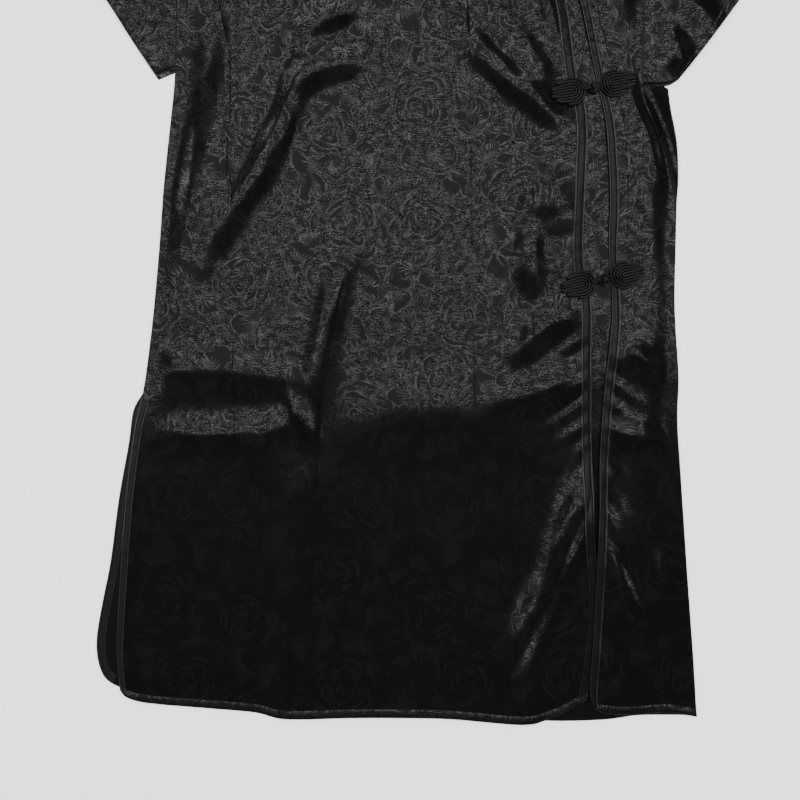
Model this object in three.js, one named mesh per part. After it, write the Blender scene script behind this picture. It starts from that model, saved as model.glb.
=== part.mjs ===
// A short-sleeved cheongsam top in brocade satin, laid out flat with its front up.
// Millimetres, +Z up. The garment is drafted with x = 0 near its centre front and y = 0 at the hem,
// y growing towards the collar, and the finished group is moved so that its box is centred on the origin.
import * as THREE from "three";

// ---------------------------------------------------------------- driving sizes
const CLOTH = 1.2; // wall of one layer of cloth
const SEAM = 0.3; // gap between pieces that are sewn together or lie on each other
const UNDERLAP_CLOTH = 1.0;
const BAND_CLOTH = 1.0; // wall of a binding
const BAND_WIDTH = 10; // binding along the front opening
const SLIT_BAND_WIDTH = 8; // binding round the side slit
const COLLAR_CLOTH = 1.2;
const UNDERLAP_REACH = 24; // how far the underlap runs under each front
const LAP_RISE = UNDERLAP_CLOTH + SEAM; // what the underlap lifts both fronts by
const SLIT_RISE = 1.5; // what the back's slit binding lifts the front by
const CROSS_RISE = CLOTH + BAND_CLOTH + 2 * SEAM + 0.5; // what the wide front lifts the narrow one by
const CROSS_BELOW = 152; // y under which the two fronts cross
const FRONT_ROWS = 58; // steps of a front panel from hem to shoulder

const colours = {
  brocade: { color: 0x141617, roughness: 0.42, metalness: 0 },
  satin: { color: 0x0f1112, roughness: 0.3, metalness: 0 },
  cord: { color: 0x090909, roughness: 0.6, metalness: 0 },
};
const materialOf = (finish) => new THREE.MeshStandardMaterial(colours[finish]);

// ---------------------------------------------------------------- the cut, as edges (x, y)
const curve = (rows) => new THREE.SplineCurve(rows.map(([x, y]) => new THREE.Vector2(x, y)));

// Left slit of the front, left side seam and left armhole, upwards from the hem.
const wideFrontSide = curve([
  [-264, 22], [-267, 60], [-264, 120], [-259, 190], [-251, 253], [-244, 284], [-236, 345],
  [-230, 410], [-226, 465], [-220, 522], [-216, 565], [-214, 629], [-213, 700], [-207, 766],
]);
// The wide front's opening edge, upwards, then slanting to the neck.
const wideFrontOpening = curve([
  [147, 14], [153, 52], [158, 100], [153.5, 165], [151, 240], [151, 325], [151, 362], [144, 405],
  [146, 470], [147, 528], [138, 565], [129, 627], [116, 668], [88, 700], [46, 722], [-7, 738],
]);
const wideFrontHem = curve([
  [-264, 22], [-257, 15], [-236, 10], [-190, 6], [-145, 2], [-118, -4], [-60, -3], [-18, -3],
  [27, -4], [90, -9], [112, -4], [130, 4], [147, 14],
]);
const wideFrontNeck = curve([[-207, 766], [-140, 788], [-80, 806], [-72, 783], [-48, 755], [-7, 738]]);

// The narrow front's opening edge, upwards, then slanting to the neck.
const narrowFrontOpening = curve([
  [151, 12], [149, 26], [151, 60], [154, 110], [157, 170], [158, 230], [162, 285], [169, 355],
  [166, 410], [167, 455], [165, 500], [162, 530], [154, 565], [141, 627], [126, 678], [94, 712],
  [50, 731], [-5, 741],
]);
const narrowFrontSide = curve([
  [244, -2], [241, 50], [236, 120], [230, 210], [227, 260], [228, 300], [224, 360], [225, 405],
  [224, 455], [213, 505], [196, 552], [197, 610], [199, 690], [191, 766],
]);
const narrowFrontHem = curve([[151, 12], [155, 6], [163, 2], [187, 0], [217, 2], [233, 0], [244, -2]]);
const narrowFrontNeck = curve([[-5, 741], [32, 757], [56, 784], [64, 806], [125, 788], [191, 766]]);

// The back, one outline: hem corner at the slit, hem, right side, armhole, shoulders and neck.
const backHem = curve([
  [-264, 23], [-236, 14], [-190, 10], [-145, 6], [-100, 1], [0, 1], [60, -1], [112, -6], [163, -5],
  [194, -1], [244, -1],
]);
const backRightSide = curve([
  [244, -1], [240, 52], [236, 120], [230, 210], [227, 260], [228, 300], [225, 360], [226, 420],
  [227, 475], [226, 505], [221, 535], [219, 553],
]);
const backUnderarm = curve([[219, 553], [208, 554.5], [196.5, 555.4]]);
const backRightArmhole = curve([[196.5, 555.4], [197.4, 610], [199.3, 690], [191, 766]]);
const backNeck = curve([[191, 766], [125, 788], [64, 806], [40, 797], [-8, 793], [-56, 797], [-80, 806],
  [-140, 788], [-207, 766]]);
const backLeftSide = curve([
  [-207, 766], [-213, 700], [-214, 629], [-216, 565], [-220, 522], [-226, 465], [-230, 410],
  [-236, 345], [-244, 284],
]);
const backSlit = curve([
  [-244, 284], [-253, 268], [-257, 240], [-266, 189], [-273, 136], [-280, 100], [-285, 71],
  [-285, 52], [-281, 37], [-275, 29], [-264, 23],
]);

// Sleeves: armhole edge, hem, underarm and upper fold, each from the body outwards or upwards.
const leftSleeve = {
  armhole: curve([[-216.6, 566], [-214.5, 629], [-213.5, 700], [-207.5, 766.5]]),
  hem: curve([[-231, 560], [-253, 593], [-276, 629], [-319, 693]]),
  underarm: curve([[-216.6, 566], [-231, 560]]),
  fold: curve([[-207.5, 766.5], [-262, 731], [-319, 693]]),
  foldBack: 7, // how far the upper layer's lower edge lies back from the under layer's
};
const rightSleeve = {
  armhole: curve([[197, 556], [198, 610], [200, 690], [191.5, 766.5]]),
  hem: curve([[228, 560], [252, 590], [281, 629], [327, 691]]),
  underarm: curve([[197, 556], [214, 557], [228, 560]]),
  fold: curve([[191.5, 766.5], [256, 731], [327, 691]]),
  foldBack: 1,
};

// ---------------------------------------------------------------- folds
// Each soft ridge runs from (x0, y0) to (x1, y1), bowed sideways, and fades over its half width.
const folds = [
  // x0, y0, x1, y1, bow, halfWidth, height
  [-189, 588, -213, 450, 6, 13, 5.5],
  [-112, 588, -166, 430, 5, 15, 6],
  [-84, 612, -110, 588, 0, 9, -4],
  [36, 596, 130, 520, -6, 13, 6.5],
  [40, 640, 96, 560, -4, 11, 4],
  [119, 440, 118, 392, 0, 22, 4],
  [92, 300, 143, 336, 6, 11, 5],
  [96, 268, 143, 303, 6, 11, 4.5],
  [143, 218, 66, 38, -10, 15, 8.5],
  [98, 524, 99, 180, 2, 12, 2.5],
  [-70, 366, -92, 262, -5, 13, 4.5],
  [-92, 262, -100, 60, 3, 14, 3.5],
  [-238, 284, -114, 273, 4, 12, 3.5],
  [-116, 300, -115, 24, 0, 11, 2.2],
  [-120, 262, -150, 225, 0, 10, 2.5],
  [20, 300, -40, 200, 12, 24, 2.2],
  [-180, 140, -150, 40, 8, 26, 2],
  [20, 160, 30, 40, -8, 30, 2],
  [-60, 700, -130, 560, 14, 26, 3],
  [40, 690, -10, 600, 8, 24, 2.5],
  [-180, 700, -120, 640, -6, 16, 3.5],
  [168, 140, 199, 78, -4, 9, 5],
  [208, 138, 230, 92, -2, 9, 3.5],
  [160, 60, 179, 26, -3, 7, 3],
  [172, 320, 214, 300, 4, 10, 3.5],
  [170, 262, 216, 268, 5, 11, 4],
  [178, 470, 214, 440, 4, 13, 4],
  [160, 690, 184, 620, 6, 16, 3.5],
  [120, 730, 170, 700, 4, 15, 3],
];
// Puckers that the tight bindings draw up in both fronts.
const PUCKER_PITCH = 31;
const PUCKER_HEIGHT = 2.4;
const PUCKER_REACH = 26;
const puckerStretches = [[30, 345], [385, 530], [575, 700]];

const smooth = (low, high, x) => {
  const t = Math.min(1, Math.max(0, (x - low) / (high - low)));
  return t * t * (3 - 2 * t);
};

// Height of one soft ridge at (x, y).
function ridgeAt([x0, y0, x1, y1, bow, halfWidth, height], x, y) {
  const length = Math.hypot(x1 - x0, y1 - y0);
  const ux = (x1 - x0) / length;
  const uy = (y1 - y0) / length;
  const along = ((x - x0) * ux + (y - y0) * uy) / length;
  if (along < -0.25 || along > 1.25) return 0;
  const sag = bow * Math.sin(Math.PI * Math.min(1, Math.max(0, along)));
  const across = (-(x - x0) * uy + (y - y0) * ux - sag) / halfWidth;
  const ends = smooth(-0.2, 0.25, along) * (1 - smooth(0.7, 1.2, along));
  return height * ends * Math.exp(-across * across);
}

// The x of an upward edge at a given y, from even samples of it.
function edgeTable(edge) {
  return edge.getSpacedPoints(160).map((p) => [p.y, p.x]);
}
function xAt(table, y) {
  const k = table.findIndex(([level]) => level >= y);
  if (k < 0) return table[table.length - 1][1];
  if (k === 0) return table[0][1];
  const [y0, x0] = table[k - 1];
  const [y1, x1] = table[k];
  return x0 + ((x1 - x0) * (y - y0)) / (y1 - y0);
}
const wideEdge = edgeTable(wideFrontOpening);
const narrowEdge = edgeTable(narrowFrontOpening);
const leftEdge = edgeTable(wideFrontSide);
const rightEdge = edgeTable(narrowFrontSide);

const distanceTo = (samples, x, y) => Math.min(...samples.map((p) => Math.hypot(p.x - x, p.y - y)));
const openingSamples = [
  ...wideFrontOpening.getSpacedPoints(120),
  ...narrowFrontOpening.getSpacedPoints(120),
];

// Centres of the frog fastenings, and how far the loop's side tilts up, in degrees.
const frogs = [
  { x: 161, y: 383, tilt: 13 },
  { x: 152, y: 552, tilt: 11 },
  { x: 58, y: 721, tilt: 60 },
];
const FROG_CALM = 30; // folds die away this close to a fastening

// How much of a fold is left at (x, y): none at the side edges, hem, neck and fastenings.
function looseness(x, y) {
  const sides = smooth(0, 26, x - xAt(leftEdge, y)) * smooth(0, 18, xAt(rightEdge, y) - x);
  const hem = 0.25 + 0.75 * smooth(0, 45, y);
  const top = 1 - smooth(705, 745, y);
  const calm = frogs.reduce((least, f) => Math.min(least, Math.hypot(f.x - x, f.y - y)), 1e9);
  return sides * hem * top * smooth(FROG_CALM * 0.5, FROG_CALM * 1.6, calm);
}

// What the cloth stands clear of the layers under it by, folds and puckers included.
function puffAt(x, y) {
  const loose = looseness(x, y);
  let height = 1.6;
  for (const fold of folds) height += ridgeAt(fold, x, y);
  const near = distanceTo(openingSamples, x, y);
  const wave = 0.5 + 0.5 * Math.sin((2 * Math.PI * y) / PUCKER_PITCH + 0.9 * Math.sin(y / 37));
  const gathered = puckerStretches.reduce(
    (sum, [low, high]) => sum + smooth(low, low + 25, y) * (1 - smooth(high - 25, high, y)), 0);
  height += PUCKER_HEIGHT * gathered * wave * Math.exp(-((near / PUCKER_REACH) ** 2));
  return Math.max(0, height) * loose;
}

// The underside of a front panel, over the back, the underlap and the slit binding.
function frontUnderside(x, y) {
  const near = distanceTo(openingSamples, x, y);
  const lap = LAP_RISE * (1 - smooth(UNDERLAP_REACH + 12, UNDERLAP_REACH + 30, near));
  const slit = SLIT_RISE * (1 - smooth(278, 300, y)) * (1 - smooth(12, 34, x - xAt(leftEdge, y)));
  return CLOTH + SEAM + lap + slit + puffAt(x, y);
}
// The narrow front also climbs over the wide one where they cross near the hem.
function narrowUnderside(x, y) {
  const cross = CROSS_RISE * (1 - smooth(CROSS_BELOW, CROSS_BELOW + 50, y));
  return frontUnderside(x, y) + cross * (1 - smooth(10, 46, x - xAt(narrowEdge, y)));
}

// ---------------------------------------------------------------- walls of cloth
// A closed wall from a grid of rows of points; each point has its place and the way its thickness runs.
function wallGeometry(rows) {
  const high = rows.length;
  const wide = rows[0].length;
  const positions = [];
  for (const side of ["top", "under"]) {
    for (const row of rows) for (const cell of row) positions.push(...cell[side].toArray());
  }
  const at = (layer, r, c) => layer * high * wide + r * wide + c;
  const index = [];
  const quad = (a, b, c, d) => index.push(a, b, c, a, c, d);
  for (let r = 0; r < high - 1; r += 1) {
    for (let c = 0; c < wide - 1; c += 1) {
      quad(at(0, r, c), at(0, r, c + 1), at(0, r + 1, c + 1), at(0, r + 1, c));
      quad(at(1, r, c), at(1, r + 1, c), at(1, r + 1, c + 1), at(1, r, c + 1));
    }
    quad(at(0, r, 0), at(0, r + 1, 0), at(1, r + 1, 0), at(1, r, 0));
    quad(at(0, r + 1, wide - 1), at(0, r, wide - 1), at(1, r, wide - 1), at(1, r + 1, wide - 1));
  }
  for (let c = 0; c < wide - 1; c += 1) {
    quad(at(0, 0, c + 1), at(0, 0, c), at(1, 0, c), at(1, 0, c + 1));
    quad(at(0, high - 1, c), at(0, high - 1, c + 1), at(1, high - 1, c + 1), at(1, high - 1, c));
  }
  const geometry = new THREE.BufferGeometry();
  geometry.setAttribute("position", new THREE.Float32BufferAttribute(positions, 3));
  geometry.setIndex(index);
  geometry.computeVertexNormals();
  return geometry;
}

// A panel between four edges: bottom and top run left to right, left and right run upwards.
function patchPoint({ bottom, top, left, right }, across, t) {
  const s = Math.min(1, Math.max(0, across));
  const b = bottom.getPointAt(s);
  const u = top.getPointAt(s);
  const l = left.getPointAt(t);
  const r = right.getPointAt(t);
  const [p00, p10] = [bottom.getPointAt(0), bottom.getPointAt(1)];
  const [p01, p11] = [top.getPointAt(0), top.getPointAt(1)];
  const mix = (k) =>
    (1 - t) * b[k] + t * u[k] + (1 - s) * l[k] + s * r[k] -
    ((1 - s) * (1 - t) * p00[k] + s * (1 - t) * p10[k] + (1 - s) * t * p01[k] + s * t * p11[k]);
  return new THREE.Vector2(mix("x"), mix("y"));
}

// Rows of a panel; firstBand and lastBand put a column at a binding's width from each side.
function panelRows(cut, columns, underside, firstBand, lastBand) {
  const rows = [];
  for (let r = 0; r <= FRONT_ROWS; r += 1) {
    const t = r / FRONT_ROWS;
    const width = cut.left.getPointAt(t).distanceTo(cut.right.getPointAt(t));
    const start = firstBand / width;
    const end = 1 - lastBand / width;
    const shares = [0];
    for (let c = 0; c <= columns; c += 1) shares.push(start + ((end - start) * c) / columns);
    shares.push(1);
    rows.push(shares.map((s) => {
      const { x, y } = patchPoint(cut, s, t);
      const z = underside(x, y);
      return { top: new THREE.Vector3(x, y, z + CLOTH), under: new THREE.Vector3(x, y, z) };
    }));
  }
  return rows;
}

// A binding lies on its panel's outermost column, made from the panel's own points.
function bindingRows(rows, columnA, columnB, thickness) {
  return rows.map((row) => [columnA, columnB].map((c) => {
    const seat = row[c].top.clone().add(new THREE.Vector3(0, 0, SEAM));
    return { top: seat.clone().add(new THREE.Vector3(0, 0, thickness)), under: seat };
  }));
}

const wideCut = { bottom: wideFrontHem, top: wideFrontNeck, left: wideFrontSide, right: wideFrontOpening };
const narrowCut = {
  bottom: narrowFrontHem, top: narrowFrontNeck, left: narrowFrontOpening, right: narrowFrontSide,
};
const wideRows = panelRows(wideCut, 22, frontUnderside, SLIT_BAND_WIDTH, BAND_WIDTH);
const narrowRows = panelRows(narrowCut, 5, narrowUnderside, BAND_WIDTH, 6);

// A flat piece cut from an outline and laid at a height.
function flatPiece(outline, thickness, height) {
  const geometry = new THREE.ExtrudeGeometry(new THREE.Shape(outline), {
    depth: thickness,
    bevelEnabled: false,
    steps: 1,
  });
  return geometry.translate(0, 0, height);
}

function backOutline() {
  const stretches = [
    [backHem, 22], [backRightSide, 24], [backUnderarm, 2], [backRightArmhole, 10], [backNeck, 30],
    [backLeftSide, 22], [backSlit, 26],
  ];
  return stretches.flatMap(([edge, steps]) => edge.getSpacedPoints(steps).slice(0, -1));
}

// The underlap: a strip under both opening edges that fills the gap between them.
function underlapOutline() {
  const shifted = (edge, reach) => edge.getSpacedPoints(44).map((p, i, all) => {
    const before = all[Math.max(0, i - 1)];
    const after = all[Math.min(all.length - 1, i + 1)];
    const run = after.clone().sub(before).normalize();
    return new THREE.Vector2(p.x - run.y * reach, p.y + run.x * reach);
  });
  const left = shifted(wideFrontOpening, UNDERLAP_REACH).filter((p) => p.y > 34 && p.x > 4);
  const right = shifted(narrowFrontOpening, -UNDERLAP_REACH).filter((p) => p.y > 34 && p.x > 20);
  const within = (p) => new THREE.Vector2(p.x, Math.min(p.y, 744 - Math.max(0, 36 - p.x) * 0.6));
  return [...left.map(within), ...right.map(within).reverse()];
}

// The back's binding follows its slit and round corner.
function slitBackBinding() {
  const outer = backSlit.getSpacedPoints(30).slice(2, -1);
  const inner = outer.map((p, i) => {
    const run = outer[Math.min(outer.length - 1, i + 1)].clone().sub(outer[Math.max(0, i - 1)]).normalize();
    return new THREE.Vector2(p.x - run.y * SLIT_BAND_WIDTH, p.y + run.x * SLIT_BAND_WIDTH);
  });
  return flatPiece([...outer, ...inner.reverse()], 0.8, CLOTH + SEAM);
}

// ---------------------------------------------------------------- sleeves
const SLEEVE_ACROSS = 9;
const SLEEVE_ALONG = 8;
// Columns as in the table of folds above.
const sleeveFolds = {
  left: [
    [-222, 640, -300, 668, 6, 18, 4],
    [-220, 600, -262, 610, 3, 12, 2.5],
    [-214, 720, -280, 706, 4, 14, 3],
  ],
  right: [
    [203, 640, 262, 604, 5, 13, 6],
    [214, 600, 226, 568, 2, 8, 5],
    [206, 720, 290, 690, 4, 16, 3.5],
  ],
};

// A sleeve is a flattened tube: an outer and an inner ring of points at each step from armhole to hem.
function sleeveGeometry(cut, ridges) {
  const patch = { bottom: cut.armhole, top: cut.hem, left: cut.underarm, right: cut.fold };
  const length = cut.armhole.getLength();
  const ring = (t, inset, lift, rise) => {
    const points = [];
    const at = (s) => patchPoint(patch, s, t);
    const first = inset / length;
    for (let k = 0; k <= SLEEVE_ACROSS; k += 1) {
      const s = first + ((1 - 2 * first) * k) / SLEEVE_ACROSS;
      const p = at(s);
      points.push(new THREE.Vector3(p.x, p.y, lift));
    }
    for (let k = SLEEVE_ACROSS; k >= 0; k -= 1) {
      const low = first + cut.foldBack / length;
      const s = low + ((1 - first - low) * k) / SLEEVE_ACROSS;
      const p = at(s);
      const ease = smooth(0, 0.12, s) * smooth(0, 0.12, 1 - s) * smooth(0, 0.25, t);
      const fold = ridges.reduce((sum, f) => sum + ridgeAt(f, p.x, p.y), 1.2);
      points.push(new THREE.Vector3(p.x, p.y, rise + Math.max(0, fold) * ease));
    }
    return points;
  };
  const outer = [];
  const inner = [];
  for (let j = 0; j <= SLEEVE_ALONG; j += 1) {
    const t = j / SLEEVE_ALONG;
    outer.push(ring(t, 0, 0, 2 * CLOTH + SEAM));
    inner.push(ring(t, CLOTH, CLOTH, CLOTH + SEAM));
  }
  return tubeWall(outer, inner);
}

// A tube wall from matching outer and inner rings, open at both ends.
function tubeWall(outer, inner) {
  const steps = outer.length;
  const around = outer[0].length;
  const positions = [...outer, ...inner].flatMap((ring) => ring.flatMap((p) => p.toArray()));
  const at = (layer, j, k) => (layer * steps + j) * around + (k % around);
  const index = [];
  const quad = (a, b, c, d) => index.push(a, b, c, a, c, d);
  for (let k = 0; k < around; k += 1) {
    for (let j = 0; j < steps - 1; j += 1) {
      quad(at(0, j, k), at(0, j, k + 1), at(0, j + 1, k + 1), at(0, j + 1, k));
      quad(at(1, j, k), at(1, j + 1, k), at(1, j + 1, k + 1), at(1, j, k + 1));
    }
    quad(at(0, 0, k + 1), at(0, 0, k), at(1, 0, k), at(1, 0, k + 1));
    quad(at(0, steps - 1, k), at(0, steps - 1, k + 1), at(1, steps - 1, k + 1), at(1, steps - 1, k));
  }
  const geometry = new THREE.BufferGeometry();
  geometry.setAttribute("position", new THREE.Float32BufferAttribute(positions, 3));
  geometry.setIndex(index);
  return facingOut(geometry);
}

// Turns a closed geometry the right way round if its volume comes out negative.
function facingOut(geometry) {
  const p = geometry.getAttribute("position");
  const order = geometry.getIndex().array;
  const [a, b, c] = [new THREE.Vector3(), new THREE.Vector3(), new THREE.Vector3()];
  let volume = 0;
  for (let i = 0; i < order.length; i += 3) {
    a.fromBufferAttribute(p, order[i]);
    b.fromBufferAttribute(p, order[i + 1]);
    c.fromBufferAttribute(p, order[i + 2]);
    volume += a.dot(b.cross(c));
  }
  if (volume < 0) geometry.setIndex(Array.from(order).reverse());
  geometry.computeVertexNormals();
  return geometry;
}

// ---------------------------------------------------------------- stand collar
// Seam line and top edge of the collar, from one front end round the back to the other.
const COLLAR_STEPS = 36;
const collarSeam = new THREE.CatmullRomCurve3([
  [-9, 740.4, 3.6], [-29, 747.4, 2.9], [-47.4, 759.4, 2.6], [-67.4, 784, 2.4], [-74.6, 802, 2.4],
  [-73.4, 806, 1.9], [-69, 804.8, 1.4], [-54, 799.5, 1.0], [-32, 796.3, 0.9], [-8, 795.3, 0.9],
  [16, 796.3, 0.9], [38, 799.5, 1.0], [53, 804.8, 1.4], [57, 806, 1.9], [57.5, 802.4, 2.4],
  [49.4, 787.2, 2.4], [29, 763.2, 2.6], [12, 753.8, 2.9], [-4.4, 745.2, 3.6],
].map((p) => new THREE.Vector3(...p)));
const collarTop = new THREE.CatmullRomCurve3([
  [-11, 776, 15], [-30, 784, 16], [-46, 796, 16.5], [-60, 820, 16.5], [-67, 842, 15], [-67, 847, 12],
  [-61, 846, 9], [-48, 840, 8], [-29, 836, 7.5], [-8, 835, 7.5], [13, 836, 7.5], [32, 840, 8],
  [45, 846, 9], [51, 847, 12], [51, 842, 15], [44, 820, 16.5], [30, 797, 16.5], [14, 785, 16],
  [-3, 777, 15],
].map((p) => new THREE.Vector3(...p)));

function collarRows() {
  const levels = 4;
  const centre = [];
  for (let r = 0; r <= levels; r += 1) {
    const row = [];
    for (let c = 0; c <= COLLAR_STEPS; c += 1) {
      const u = c / COLLAR_STEPS;
      row.push(collarSeam.getPointAt(u).lerp(collarTop.getPointAt(u), r / levels));
    }
    centre.push(row);
  }
  return centre.map((row, r) => row.map((p, c) => {
    const along = row[Math.min(COLLAR_STEPS, c + 1)].clone().sub(row[Math.max(0, c - 1)]);
    const up = centre[Math.min(levels, r + 1)][c].clone().sub(centre[Math.max(0, r - 1)][c]);
    const out = along.cross(up).normalize().multiplyScalar(COLLAR_CLOTH / 2);
    return { top: p.clone().add(out), under: p.clone().sub(out) };
  }));
}

// ---------------------------------------------------------------- frog fastenings
const CORD = 2.2; // thickness of the braided cord that the wings are coiled from
const WING_START = 6.6; // from the middle of the fastening to a wing's head
const WING_LENGTH = 30.4;
const WING_WIDTH = 27;
const STRANDS = 7; // strands across a wing
const WING_STEPS = 4;
const KNOT_RADIUS = 3;
const KNOT_SHIFT = 1; // the knot and its loop lie this far to the loop's side of the middle
const LOOP_CORD = 1.8;
const LOOP_RADIUS = 4.4; // to the middle of its cord
const STEM_RADIUS = 1.1; // the knot's stem lies on the head of its wing
const STEM_OVER_LOOP = 0.7; // spare height between the stem and the loop that it passes over

// One fan-shaped wing, lying along +x from its head: strands side by side, longest in the middle.
function wingGeometry() {
  const rows = [];
  const columns = 2 * STRANDS;
  for (let r = 0; r <= WING_STEPS; r += 1) {
    const along = r / WING_STEPS;
    const row = [];
    for (let c = 0; c <= columns; c += 1) {
      const across = c / columns - 0.5;
      const isRidge = c % 2 === 1;
      const reach = WING_LENGTH * (1 - across * across) - (isRidge ? 0 : 2.4);
      const spread = Math.sin(Math.PI * (0.2 + 0.62 * along)) * WING_WIDTH;
      const head = 9 * (1 - Math.cos(Math.PI * across)) * (1 - along);
      const x = head + reach * along;
      const top = CORD * (isRidge ? 1.15 : 0.55);
      row.push({
        top: new THREE.Vector3(x, across * spread, top),
        under: new THREE.Vector3(x, across * spread, 0),
      });
    }
    rows.push(row.reverse());
  }
  return facingOut(wallGeometry(rows));
}

const loopGeometry = () =>
  new THREE.TorusGeometry(LOOP_RADIUS, LOOP_CORD / 2, 6, 16).translate(KNOT_SHIFT, 0, LOOP_CORD / 2);

// The knot is a ball with a stem that runs back over the head of its own wing.
function knotGeometry() {
  const reach = WING_START + KNOT_SHIFT + 4;
  const stemAngle = Math.asin(STEM_RADIUS / KNOT_RADIUS);
  const profile = [new THREE.Vector2(0, -KNOT_RADIUS)];
  for (let k = 1; k <= 5; k += 1) {
    const angle = Math.PI - ((Math.PI - stemAngle) * k) / 5;
    profile.push(new THREE.Vector2(KNOT_RADIUS * Math.sin(angle), KNOT_RADIUS * Math.cos(angle)));
  }
  profile.push(new THREE.Vector2(STEM_RADIUS, reach), new THREE.Vector2(0, reach));
  const height = CORD * 1.15 + SEAM + STEM_RADIUS;
  return new THREE.LatheGeometry(profile, 10).rotateZ(-Math.PI / 2).translate(-KNOT_SHIFT, 0, height);
}

// A fastening's pieces, each with the turn that points it to its own side.
const frogPieces = {
  wing_left: { turn: 180, make: () => wingGeometry().translate(WING_START, 0, 0) },
  wing_right: { turn: 0, make: () => wingGeometry().translate(WING_START, 0, 0) },
  knot: { turn: 180, make: knotGeometry },
  loop: { turn: 0, make: loopGeometry },
};

// ---------------------------------------------------------------- the garment
const garment = new THREE.Group();
function add(name, finish, geometry) {
  const mesh = new THREE.Mesh(geometry, materialOf(finish));
  mesh.name = name;
  garment.add(mesh);
  return mesh;
}

add("back", "brocade", flatPiece(backOutline(), CLOTH, 0));
add("underlap", "brocade", flatPiece(underlapOutline(), UNDERLAP_CLOTH, CLOTH + SEAM));
const wideFront = add("front_wide", "brocade", wallGeometry(wideRows));
const narrowFront = add("front_narrow", "brocade", wallGeometry(narrowRows));

const last = wideRows[0].length - 1;
const slitTopRow = wideRows.findIndex((row) => row[0].top.y > 276);
const band = (rows, columnA, columnB) => wallGeometry(bindingRows(rows, columnA, columnB, BAND_CLOTH));
const bindings = [
  add("binding_wide_opening", "satin", band(wideRows.slice(1), last - 1, last)),
  add("binding_narrow_opening", "satin", band(narrowRows.slice(1), 0, 1)),
  add("binding_slit_front", "satin", band(wideRows.slice(1, slitTopRow), 0, 1)),
];
add("binding_slit_back", "satin", slitBackBinding());

add("sleeve_left", "brocade", sleeveGeometry(leftSleeve, sleeveFolds.left));
add("sleeve_right", "brocade", sleeveGeometry(rightSleeve, sleeveFolds.right));
add("collar", "brocade", facingOut(wallGeometry(collarRows())));

// Each half of a fastening lies just clear of the highest point of the cloth and bindings under it.
const under = [wideFront, narrowFront, ...bindings];
const caster = new THREE.Raycaster();
const down = new THREE.Vector3(0, 0, -1);
garment.updateMatrixWorld(true);
function clothHeight(x, y) {
  caster.set(new THREE.Vector3(x, y, 100), down);
  const hit = caster.intersectObjects(under)[0];
  return hit ? hit.point.z : 0;
}
function seatOf(...geometries) {
  let seat = 0;
  for (const geometry of geometries) {
    const p = geometry.getAttribute("position");
    for (let k = 0; k < p.count; k += 1) seat = Math.max(seat, clothHeight(p.getX(k), p.getY(k)));
  }
  return seat + SEAM;
}
frogs.forEach(({ x, y, tilt }, i) => {
  const placed = (name) => {
    const { turn, make } = frogPieces[name];
    return make().rotateZ(((tilt + turn) * Math.PI) / 180).translate(x, y, 0);
  };
  const [wingLeft, wingRight, knot, loop] = ["wing_left", "wing_right", "knot", "loop"].map(placed);
  const rightSeat = seatOf(wingRight, loop);
  const leftSeat = Math.max(seatOf(wingLeft), rightSeat - STEM_OVER_LOOP);
  const seats = { wing_left: leftSeat, wing_right: rightSeat, knot: leftSeat, loop: rightSeat };
  for (const [name, geometry] of Object.entries({ wing_left: wingLeft, wing_right: wingRight, knot, loop })) {
    add(`frog_${i + 1}_${name}`, "cord", geometry.translate(0, 0, seats[name]));
  }
});

// Centre the garment's box over the origin, with its underside on z = 0.
const box = new THREE.Box3().setFromObject(garment);
garment.position.set(-(box.min.x + box.max.x) / 2, -(box.min.y + box.max.y) / 2, 0);

export default garment;
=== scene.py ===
# %% [markdown]
# # A cheongsam top in black brocade satin, laid out flat
#
# The garment lies face up on a pale surface. Its wide front wraps across the body and closes along a
# curved opening with corded fastenings, the other side has a slit, and all of it is cut from one black
# satin with flowers woven in its own colour. Black cloth shows its shape only through what it reflects,
# so most of the work below goes into the folds, the two finishes of the weave, and the soft lights that
# they mirror. Everything is drafted flat in millimetres, as a cutter would, with x = 0 near the centre
# front and y = 0 at the hem, and moved into the part's frame when it becomes a mesh.

import math

import bmesh
import bpy
import numpy as np
from mathutils import Matrix, Vector


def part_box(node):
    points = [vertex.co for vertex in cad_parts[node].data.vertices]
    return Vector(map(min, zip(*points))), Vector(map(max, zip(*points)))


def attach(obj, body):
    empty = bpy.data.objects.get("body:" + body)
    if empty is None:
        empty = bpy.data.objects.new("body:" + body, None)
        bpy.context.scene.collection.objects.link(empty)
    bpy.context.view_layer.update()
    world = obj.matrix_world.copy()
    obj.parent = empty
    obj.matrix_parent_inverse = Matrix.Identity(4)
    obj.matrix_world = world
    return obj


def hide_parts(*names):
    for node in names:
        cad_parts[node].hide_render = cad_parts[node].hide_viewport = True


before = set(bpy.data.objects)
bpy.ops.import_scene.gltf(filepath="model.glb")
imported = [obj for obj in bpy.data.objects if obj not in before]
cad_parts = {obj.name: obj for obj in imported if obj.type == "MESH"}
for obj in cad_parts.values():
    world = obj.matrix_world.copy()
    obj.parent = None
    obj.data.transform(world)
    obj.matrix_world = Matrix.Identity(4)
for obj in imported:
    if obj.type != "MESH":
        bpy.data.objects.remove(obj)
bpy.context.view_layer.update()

# %% From the draft to the frame
SHIFT = (-4.0, -419.208)  # mm


def placed(x, y, z):
    """Points in the part's frame, in metres, from draft millimetres."""
    return np.stack([(x + SHIFT[0]) / 1000, (y + SHIFT[1]) / 1000, z / 1000], axis=-1)


# %% [markdown]
# ## The cut
#
# A pattern piece is bounded by smooth lines through a few measured points. Each line here is a
# Catmull-Rom curve, which passes through its points, sampled densely once and then read by its share of
# the length or by its height above the hem. A curve object would do the same, but arrays are quicker to
# ask for tens of thousands of points.

# %% Edges


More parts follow.
